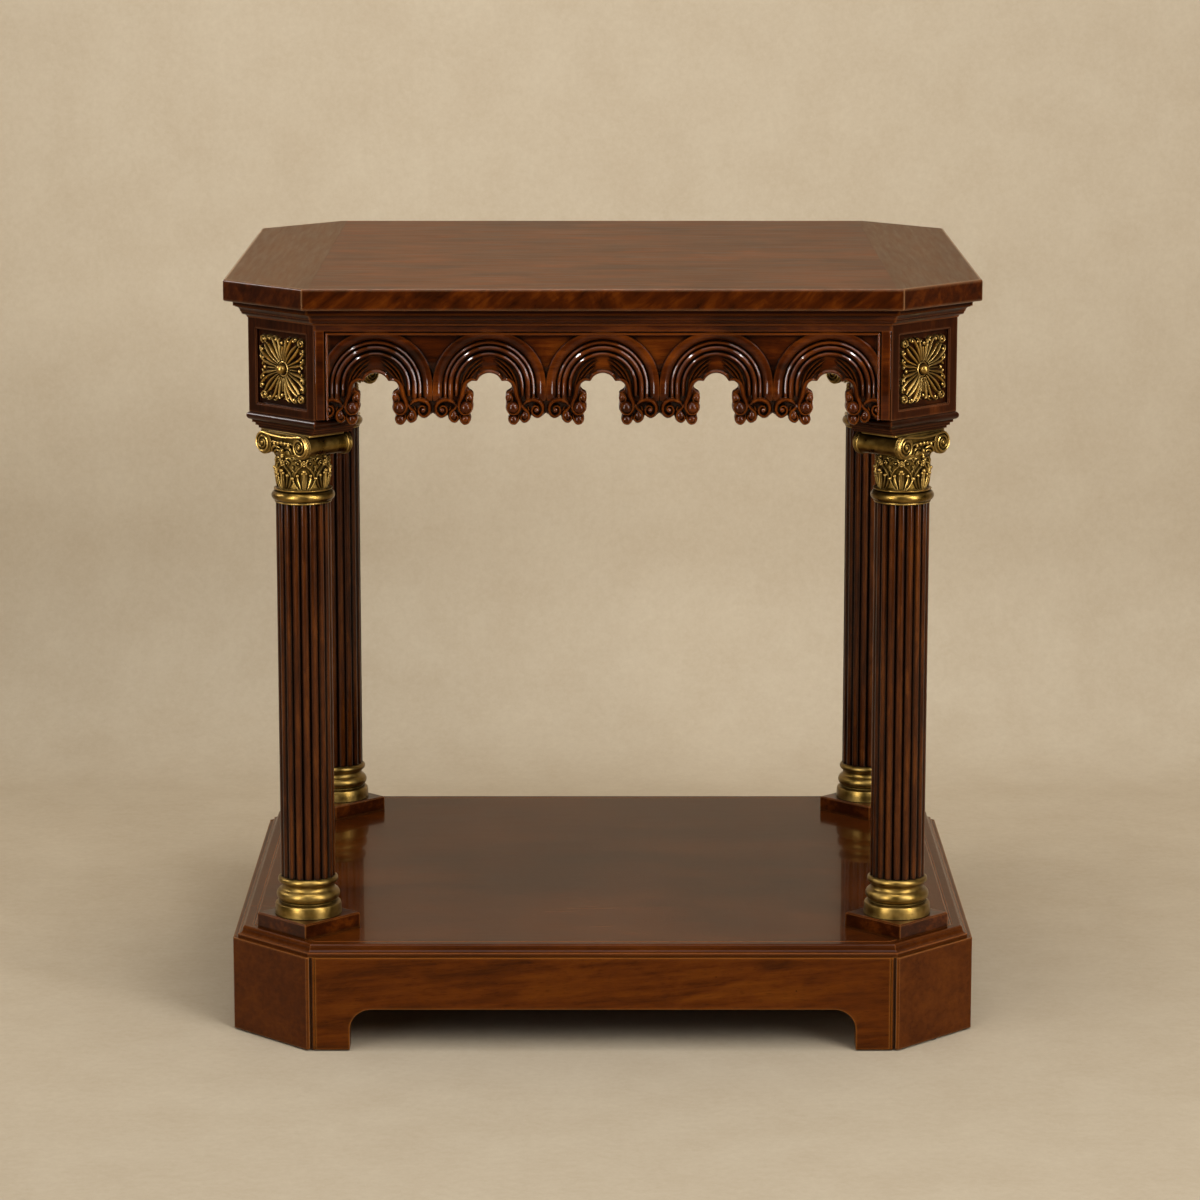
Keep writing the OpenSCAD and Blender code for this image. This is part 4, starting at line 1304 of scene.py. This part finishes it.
    def lay_plate(self, casting: Carving) -> None:
        """Lays the top plate and the cushion's blocks between the side rolls.

        Args:
            casting: The casting that gets them.
        """
        x, y = self.volute_x, self.roll_half
        casting.bar((-x - 8.6, 4.4 - y, self.top_z - 2.4), (x + 8.6, y - 4.4, self.top_z), 0.7)
        casting.bar((2.5 - x, 1.6 - y, self.volute_z - 1.5), (x - 2.5, y - 1.6, self.top_z - 1.0), 1.5)
        casting.bar((5.0 - x, 3.2 - y, self.volute_z - 9.5), (x - 5.0, y - 3.2, self.volute_z), 3.0)


@dataclass
class BrassBase:
    """A turned brass base: a lipped ring, a torus and a banded foot.

    Sizes are in millimetres, heights are measured from the foot.

    Attributes:
        corner: The corner of the table where it stands.
        bore_r: Radius of the bore round the column's spigot.
        foot_r: Radius of the foot.
        torus_r: Radius over the torus.
        ring_r: Radius over the ring.
        tall: Height of the base.
        facets: Facets round the axis.
    """

    corner: Corner
    bore_r: float = 15.2
    foot_r: float = 31.3
    torus_r: float = 29.7
    ring_r: float = 28.2
    tall: float = 37.0
    facets: int = 96

    def build(self, material: bpy.types.Material) -> None:
        """Turns the base.

        Args:
            material: Its finish.
        """
        foot = self.foot_r
        band = [(foot - 0.3, 0.0), (foot, 0.4), (foot - 0.1, 5.0), (foot - 0.4, 9.4)]
        band += [(foot - 1.0, 11.0), (foot - 2.2, 11.7)]
        groove = [(foot - 3.4, 11.8), (foot - 5.0, 12.4), (foot - 5.0, 13.2)]
        torus = arc((self.torus_r - 5.7, 19.1), 5.7, -72, 68, 15)
        scotia = [(25.3, 25.2), (24.7, 27.0), (24.7, 28.4), (25.4, 29.6)]
        ring = arc((self.ring_r - 3.4, self.tall - 3.6), 3.4, -66, 84, 11)
        profile = [(self.bore_r, 0.0)] + band + groove + torus + scotia + ring
        base = Carving()
        bore = [(self.bore_r, self.tall - 0.2), (self.bore_r, 0.0)]
        base.turned(profile + bore, self.facets)
        node = f"{self.corner.name.lower()}_brass_base"
        low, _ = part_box(node)
        base.finish(f"{node}_turned", corner_place(self.corner, low.z), material, "turned_brass", [node])


@dataclass
class Rosette:
    """A cast brass leaf rosette in a post's sunk panel.

    Attributes:
        corner: The corner of the table.
        half: Half its width, in millimetres.
        rise: How far the frame node's boss stands out of the panel, in millimetres.
    """

    corner: Corner
    half: float = 29.5
    rise: float = 8.2

    def build(self, material: bpy.types.Material) -> None:
        """Casts the rosette.

        Args:
            material: Its finish.
        """
        casting = Carving()
        quarter = self.quarter()
        for k in range(4):
            casting.stamp(quarter, Matrix.Rotation(math.radians(90 * k), 4, "Z"))
        casting.ball(0, 0, 5.0, 3.4)
        ring = tuple((x, y, 1.8, 0.9) for x, y in arc((0, 0), 6.4, 0, 360, 17))
        casting.roll(Stroke(ring, steps=2, base=1.2, sides=8))
        node = f"{self.corner.name.lower()}_rosette"
        low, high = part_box(node)
        place = corner_place(self.corner, (low.z + high.z) / 2)
        stand = Matrix.Rotation(math.radians(90), 4, "X")
        ground = Matrix.Translation((0, self.panel_depth(node), 0))
        casting.finish(f"{node}_cast", place @ ground @ stand, material, "cast_brass", [node])

    def panel_depth(self, node: str) -> float:
        """Gives the sunk panel's place on the local Y axis, from the rosette's node.

        Args:
            node: The node's name.

        Returns:
            The panel's place, in millimetres.
        """
        low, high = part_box(f"{self.corner.name.lower()}_column")
        axis = (low + high) / 2
        outward = Vector((math.copysign(1, axis.x), math.copysign(1, axis.y), 0)) / math.sqrt(2)
        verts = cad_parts[node].data.vertices
        front = max((v.co - axis).dot(outward) for v in verts) / MM
        return self.rise - front

    def quarter(self) -> Carving:
        """Draws a quarter of the rosette: a long corner leaf and half of its neighbours.

        Returns:
            The motif, its corner leaf pointing up and to the right.
        """
        motif = Carving()
        reach = self.half * math.sqrt(2)
        # Corner leaf: three bold ribs on each side of a midrib that ends in a ring
        leaf = Carving()
        leaf.roll(Stroke(
            (
                (7.6, 0.9, 1.6, 2.6), (16.0, 2.2, 2.9, 4.6), (25.0, 2.6, 3.1, 4.6),
                (31.6, 1.6, 2.0, 3.6),
            ),
            steps=4, base=0.2, sides=8,
        ))
        leaf.roll(Stroke(
            (
                (7.8, 2.6, 1.5, 2.2), (16.0, 6.6, 2.7, 4.0), (24.5, 9.4, 2.8, 4.0),
                (31.0, 9.6, 2.4, 3.8), (34.2, 7.4, 2.0, 3.6), (32.6, 5.2, 1.5, 3.4),
            ),
            steps=5, base=0.2, sides=8,
        ))
        leaf.roll(Stroke(
            (
                (7.4, 4.4, 1.4, 2.0), (14.5, 9.8, 2.4, 3.4), (21.0, 13.6, 2.5, 3.4),
                (26.6, 14.4, 2.2, 3.4), (28.8, 12.4, 1.6, 3.2),
            ),
            steps=5, base=0.2, sides=8,
        ))
        leaf.ball(30.6, 7.4, 1.5, 2.6)
        leaf.ball(24.6, 12.4, 1.3, 2.2)
        leaf.mirrored((1.0, -1.0))
        ring = tuple((x, y, 2.1, 3.0) for x, y in arc((reach - 5.4, 0.0), 3.2, 0, 360, 11))
        leaf.roll(Stroke(ring, steps=2, base=0.6, sides=8))
        leaf.ball(reach - 5.4, 0, 1.5, 1.6)
        motif.stamp(leaf, Matrix.Rotation(math.radians(45), 4, "Z"))
        # Side leaf: a midrib with a bead, and a rib on each side that curls back at the edge
        side = Carving()
        side.roll(Stroke(
            (
                (7.8, 1.4, 1.4, 2.2), (15.0, 3.6, 2.3, 3.2), (21.5, 5.0, 2.4, 3.2),
                (26.4, 4.4, 2.2, 3.2), (27.6, 2.2, 1.6, 3.0),
            ),
            steps=4, base=0.2, sides=8,
        ))
        side.mirrored((1.0, -1.0))
        side.roll(Stroke(
            (
                (8.2, 0, 1.2, 2.0), (15.0, 0, 2.2, 2.8), (20.8, 0, 1.6, 2.6),
            ),
            steps=4, base=0.2, sides=8,
        ))
        side.ball(24.0, 0, 1.7, 2.2)
        motif.stamp(side, Matrix.Identity(4))
        return motif


class Joinery:
    """The finishes of the whole table, and which nodes give way to carved and cast parts."""

    def finish(self) -> None:
        """Dresses the plain nodes and has the carved and the brass ones built."""
        self.finish_top()
        self.finish_frieze()
        self.finish_columns()
        self.finish_base()
        self.finish_hidden()

    def finish_top(self) -> None:
        """Dresses the slab, its veneers and the cornice."""
        # The slab's pale edge colour, at full line strength, paints a highlight along its arrises as
        # well as their wear
        slab = PolishedMahogany(
            "mahogany_slab", grain=Grain.SLANTED, deep="#1c0800", body="#431902", glow="#662f07",
            figure_mm=15, figure=0.62, stretch=2.2, edge_lightening=0.4, lightened="#cf9a68", line=1.0, soft_mm=2.4,
        )
        dress(["table_top"], slab.build())
        # A swirl veneer's figure is bent and crowded, with strong growth streaks. The veneers' lighter,
        # greyer colours are partly their own tone and partly a painted sheen of the polished top, whose
        # own reflection is kept weak
        field_sheet = PolishedMahogany(
            "mahogany_swirl_veneer", deep="#3a2010", body="#563015", glow="#6c3a1b", figure_mm=26,
            figure=0.62, stretch=3.4, bend=0.06, streak=0.32, edge_lightening=0.0, line=0.0, glaze_and_shade=0.0,
            specks=0.3, reflect=0.02, coat=0.05,
        )
        dress(["field_veneer"], field_sheet.build())
        # The end veneers' colours likewise hold part of that painted sheen
        ends = PolishedMahogany(
            "mahogany_end_veneer", grain=Grain.ALONG_Y, deep="#462a15", body="#55351b",
            glow="#643f20", figure_mm=30, figure=0.3, stretch=5, edge_lightening=0.0, line=0.0, glaze_and_shade=0.0,
            specks=0.2, reflect=0.02, coat=0.06,
        )
        dress(["left_end_veneer", "right_end_veneer"], ends.build())
        cornice = PolishedMahogany(
            "mahogany_cornice", deep="#170500", body="#301002", glow="#582607", figure=0.6,
            lightened="#8a4814", line=0.85,
        )
        dress(side_names("cornice", ACROSS) + corner_names("cornice"), cornice.build())
        dress(side_names("cornice", DEEP), cornice.on_the_sides().build())

    def finish_frieze(self) -> None:
        """Dresses the posts and the abacus blocks, and has the aprons carved."""
        post = PolishedMahogany(
            "mahogany_post", grain=Grain.UPRIGHT, body="#391503", glow="#622e0a", figure=0.6,
            line=0.7, soft_mm=1.2, lightened="#8a5230",
        )
        dress(corner_names("post"), post.build())
        # The abacus's colours are set darker than the post's: painted shade on its downward-facing
        # moulding
        abacus = PolishedMahogany(
            "mahogany_abacus", deep="#140600", body="#2b1206", glow="#432110", figure=0.5
        )
        dress(corner_names("abacus"), abacus.build())
        # Carving is darkened more in its recesses than flat work, by glazing and painted shade, so its
        # rolls stand out
        carving = PolishedMahogany(
            "mahogany_carving", lightened="#864413", line=0.7, glaze_and_shade=1.0, shut_at=0.48, open_at=0.92
        )
        for sides, finish in ((ACROSS, carving), (DEEP, carving.on_the_sides())):
            carved = finish.build()
            for side in sides:
                Arcade(side).build(carved)

    def finish_columns(self) -> None:
        """Dresses the columns, and has their capitals and bases and the rosettes made."""
        # The darkening reaches 16 mm and starts early, so the reeds' flanks and grooves go dark: glazing
        # and painted shade
        shaft = PolishedMahogany(
            "mahogany_reeded_shaft", grain=Grain.UPRIGHT, deep="#2a1003", body="#4e2509",
            glow="#6c3a12", figure_mm=14, figure=0.45, stretch=16, glaze_and_shade=1.0, glaze_and_shade_mm=16.0,
            shut_at=0.87, open_at=1.0, edge_lightening=0.2, line=0.0, streak=0.3,
        )
        dress(corner_names("column"), shaft.build())
        # Turned brass is smooth, and only its grooves keep patina
        turned = AgedBrass(
            "brass_turned", rough=0.36, reach_mm=3.0, bright="#b29355", dull="#6c5425", pitted=0.01
        ).build()
        for corner in Corner:
            BrassBase(corner).build(turned)
        cast = AgedBrass("brass_cast").build()
        # Shallow relief is polished more than the capitals' deep leaves
        relief = AgedBrass(
            "brass_rosette", bright="#d0ab64", dull="#7a5b24", reach_mm=3.4, edge_lightening=0.8
        ).build()
        for corner in Corner:
            Capital(corner).build(cast)
            Rosette(corner).build(relief)

    def finish_base(self) -> None:
        """Dresses the plinths, the platform, the rails and the corner pieces."""
        plinth = PolishedMahogany(
            "mahogany_plinth", body="#3e1805", figure=0.5, soft_mm=1.4, lightened="#a0602c", line=0.8
        )
        dress(corner_names("plinth"), plinth.build())
        platform = PolishedMahogany(
            "mahogany_platform", deep="#341505", body="#512506", glow="#65320b", figure_mm=90,
            figure=0.6, stretch=2.2, glaze_and_shade=0.7, specks=0.35, rough=0.2, reflect=0.02, coat=0.25,
            coat_rough=0.05, soft_mm=1.7, lightened="#ad6430", line=0.9,
        )
        dress(["platform"], platform.build())
        rail = PolishedMahogany(
            "mahogany_rail", grain=Grain.RISING, deep="#2a1001", body="#592804", glow="#6f3a09",
            figure_mm=20, figure=0.42, stretch=11, streak=0.17, specks=0.9, lightened="#a0601e",
            line=0.9, soft_mm=1.5, reflect=0.09, coat=0.2,
        )
        dress(side_names("base_rail", ACROSS), rail.build())
        dress(side_names("base_rail", DEEP), rail.on_the_sides().build())
        corner_piece = PolishedMahogany(
            "mahogany_base_corner", deep="#3c1803", body="#5a2a06", glow="#6c380b", figure=0.4,
            stretch=2, lightened="#a86a34", line=0.9, soft_mm=1.5, reflect=0.06, coat=0.16,
        )
        dress(corner_names("base_corner"), corner_piece.build())

    def finish_hidden(self) -> None:
        """Dresses the blocks, the fixings and the glides."""
        pine = PlainFinish("poplar_sawn", "#b08a58", "#8a6637", 2.0, stretch=12)
        dress(["glue_blocks", "top_blocks"], pine.build())
        steel = PlainFinish("steel_zinc_plated", "#b9bcbd", "#8d9092", 1.2, rough=0.35, metallic=1.0)
        dress(["top_screws", "tie_rods", "rod_nuts", "rod_washers"], steel.build())
        felt = PlainFinish("felt_pressed", "#4a443c", "#2b2621", 0.8, rough=0.95)
        dress(["glides"], felt.build())


@dataclass(frozen=True)
class Lamp:
    """A soft box.

    Attributes:
        name: Its name.
        place: Where it stands, in metres.
        size: Its width, in metres, and its height too where tall is 0.
        power: Its power, in watts.
        tall: Its height, in metres.
        aim: The point it is turned towards, in metres.
        glint: True if it only draws highlights and casts no light of its own.
    """

    name: str
    place: tuple[float, float, float]
    size: float
    power: float
    tall: float = 0.0
    aim: tuple[float, float, float] = (0.0, 0.0, 0.35)
    glint: bool = False

    def build(self) -> None:
        """Makes the lamp and turns it towards the table."""
        light = bpy.data.lights.new(self.name, "AREA")
        light.shape = "RECTANGLE"
        light.size = self.size
        light.size_y = self.tall or self.size
        light.energy = self.power
        lamp = bpy.data.objects.new(self.name, light)
        lamp.location = self.place
        facing = Vector(self.aim) - Vector(self.place)
        lamp.rotation_euler = facing.to_track_quat("-Z", "Y").to_euler()
        lamp.visible_diffuse = not self.glint
        lamp.visible_camera = False
        bpy.context.scene.collection.objects.link(lamp)
        if self.glint:
            # A flat polished top would mirror the strips as white sheets from behind
            spared = bpy.data.collections.new(f"{self.name}_spared")
            for name in FLAT_TOPS:
                spared.objects.link(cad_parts[name])
            for member in spared.collection_objects:
                member.light_linking.link_state = "EXCLUDE"
            lamp.light_linking.receiver_collection = spared


@dataclass
class Studio:
    """The plain pale floor and backdrop, the soft lamps and the camera.

    Attributes:
        paper_light: Lighter tone of the paper sweep.
        paper_dark: Darker tone of the paper sweep.
        half_width: Half the width of the sweep, in metres, as the next four are.
        near: Where the sweep begins in front of the table.
        back: How far behind the table's centre the sweep turns up.
        turn_radius: Radius of that turn.
        tall: Height of the sweep's wall.
        fill: Strength of the world's even light.
        fill_colour: Colour of that light.
        camera_at: Place of the camera, in millimetres.
        camera_pitch: How far the camera looks down, in degrees.
        focal_mm: Focal length on a 36 mm wide sensor.
        lamps: The soft boxes.
    """

    paper_light: str = "#cabba2"
    paper_dark: str = "#bfae94"
    half_width: float = 6.0
    near: float = -2.2
    back: float = 0.75
    turn_radius: float = 0.25
    tall: float = 6.0
    fill: float = 0.11
    fill_colour: str = "#fff3df"
    camera_at: tuple[float, float, float] = (-2.494, -4142.7, 1159.4)
    camera_pitch: float = 10.81
    focal_mm: float = 128.7
    lamps: tuple[Lamp, ...] = (
        Lamp("key", (2.3, -3.2, 2.5), 2.0, 98.0),
        Lamp("fill", (-2.6, -3.0, 2.0), 2.4, 34.0),
        Lamp("overhead", (0.2, -1.2, 3.4), 2.6, 51.0),
        Lamp("backdrop", (-0.3, -0.1, 1.5), 0.8, 4.5, aim=(-0.35, 0.75, 0.45)),
        Lamp("glow", (-0.05, 0.36, 0.38), 1.1, 0.7, tall=0.4, aim=(-0.05, 1.0, 0.34)),
        Lamp("glint_left", (-1.9, -2.4, 0.7), 0.5, 52.0, tall=1.3, aim=(0.0, 0.0, 0.7), glint=True),
        Lamp("glint_right", (2.1, -2.2, 0.7), 0.5, 44.0, tall=1.3, aim=(0.0, 0.0, 0.7), glint=True),
        Lamp("glint_top", (0.0, -0.95, 3.3), 1.4, 20.0, tall=0.35, aim=(0.0, -0.3, 0.7), glint=True),
        Lamp("spark_left", (-1.7, -2.3, 2.4), 0.3, 32.0, glint=True),
        Lamp("spark_right", (1.9, -2.1, 2.4), 0.3, 32.0, glint=True),
        Lamp("glint_side", (-2.7, 0.3, 1.9), 0.5, 28.0, tall=1.0, aim=(0.0, 0.0, 1.9), glint=True),
    )

    def build(self) -> None:
        """Makes the stage, the lamps, the world and the camera."""
        self.build_sweep()
        for lamp in self.lamps:
            lamp.build()
        self.build_world()
        self.build_camera()

    def build_sweep(self) -> None:
        """Extrudes the floor up into the backdrop round a quarter turn."""
        mesh = bmesh.new()
        near = mesh.verts.new((-self.half_width, self.near, 0.0))
        far = mesh.verts.new((-self.half_width, self.back, 0.0))
        mesh.edges.new((near, far))
        turned = bmesh.ops.spin(
            mesh, geom=[far], cent=(0.0, self.back, self.turn_radius), axis=(1.0, 0.0, 0.0),
            angle=math.radians(90), steps=16,
        )
        top = next(v for v in turned["geom_last"] if isinstance(v, bmesh.types.BMVert))
        wall = bmesh.ops.extrude_vert_indiv(mesh, verts=[top])
        bmesh.ops.translate(mesh, verts=wall["verts"], vec=(0.0, 0.0, self.tall))
        across = bmesh.ops.extrude_edge_only(mesh, edges=mesh.edges[:])
        moved = [v for v in across["geom"] if isinstance(v, bmesh.types.BMVert)]
        bmesh.ops.translate(mesh, verts=moved, vec=(2 * self.half_width, 0.0, 0.0))
        bmesh.ops.recalc_face_normals(mesh, faces=mesh.faces[:])
        floor = min(mesh.faces, key=lambda face: face.calc_center_median().z)
        if floor.normal.z < 0:
            bmesh.ops.reverse_faces(mesh, faces=mesh.faces[:])
        data = bpy.data.meshes.new("paper_sweep")
        mesh.to_mesh(data)
        mesh.free()
        for face in data.polygons:
            face.use_smooth = True
        sweep = bpy.data.objects.new("paper_sweep", data)
        bpy.context.scene.collection.objects.link(sweep)
        data.materials.append(self.paper())

    def paper(self) -> bpy.types.Material:
        """Makes the matt mottled paper of the sweep.

        Returns:
            The material.
        """
        material = blank("paper_matt")
        tree = material.node_tree
        place = add(tree, "TexCoord", out="Object")
        clouds = add(
            tree, "TexNoise",
            {"Vector": place, "Scale": per_metre(70.0), "Detail": 3.0, "Roughness": 0.6},
        )
        fibres = add(
            tree, "TexNoise",
            {"Vector": place, "Scale": per_metre(9.0), "Detail": 6.0, "Roughness": 0.8},
        )
        mottle = add(tree, "MapRange", (clouds, 0.3, 0.7, -0.14, 0.14))
        tone = add(tree, "Math", (mottle, fibres), operation="ADD")
        tones = ((0.25, self.paper_dark), (0.75, self.paper_light))
        colour = add(tree, "ValToRGB", {"Fac": tone}, stops=tones)
        shader = add(
            tree, "BsdfPrincipled",
            {"Base Color": colour, "Roughness": 0.9, "Specular IOR Level": 0.1},
        )
        # A camera behind the sweep looks through it, so that the table's back can be seen
        rear = add(tree, "NewGeometry", out="Backfacing")
        seen = add(tree, "LightPath", out="Is Camera Ray")
        hidden = add(tree, "Math", (rear, seen), operation="MULTIPLY")
        clear = add(tree, "BsdfTransparent")
        surface = add(tree, "MixShader", (hidden, shader, clear))
        add(tree, "OutputMaterial", {"Surface": surface})
        return material

    def build_world(self) -> None:
        """Sets the world's even fill."""
        world = bpy.data.worlds.new("studio")
        world.use_nodes = True
        ground = world.node_tree.nodes["Background"]
        ground.inputs["Color"].default_value = linear(self.fill_colour)
        ground.inputs["Strength"].default_value = self.fill
        bpy.context.scene.world = world

    def build_camera(self) -> None:
        """Places the camera at the photograph's viewing angle."""
        lens = bpy.data.cameras.new("camera")
        lens.sensor_width = 36.0
        lens.lens = self.focal_mm
        camera = bpy.data.objects.new("camera", lens)
        camera.location = Vector(self.camera_at) * MM
        camera.rotation_euler = (math.radians(90 - self.camera_pitch), 0.0, 0.0)
        bpy.context.scene.collection.objects.link(camera)
        bpy.context.scene.camera = camera
        bpy.context.scene.view_settings.view_transform = "Standard"


def main() -> None:
    """Builds the stage and the table."""
    logging.basicConfig(level=logging.INFO, format="%(name)s: %(message)s")
    Studio().build()
    Joinery().finish()


if __name__ == "__main__":
    main()
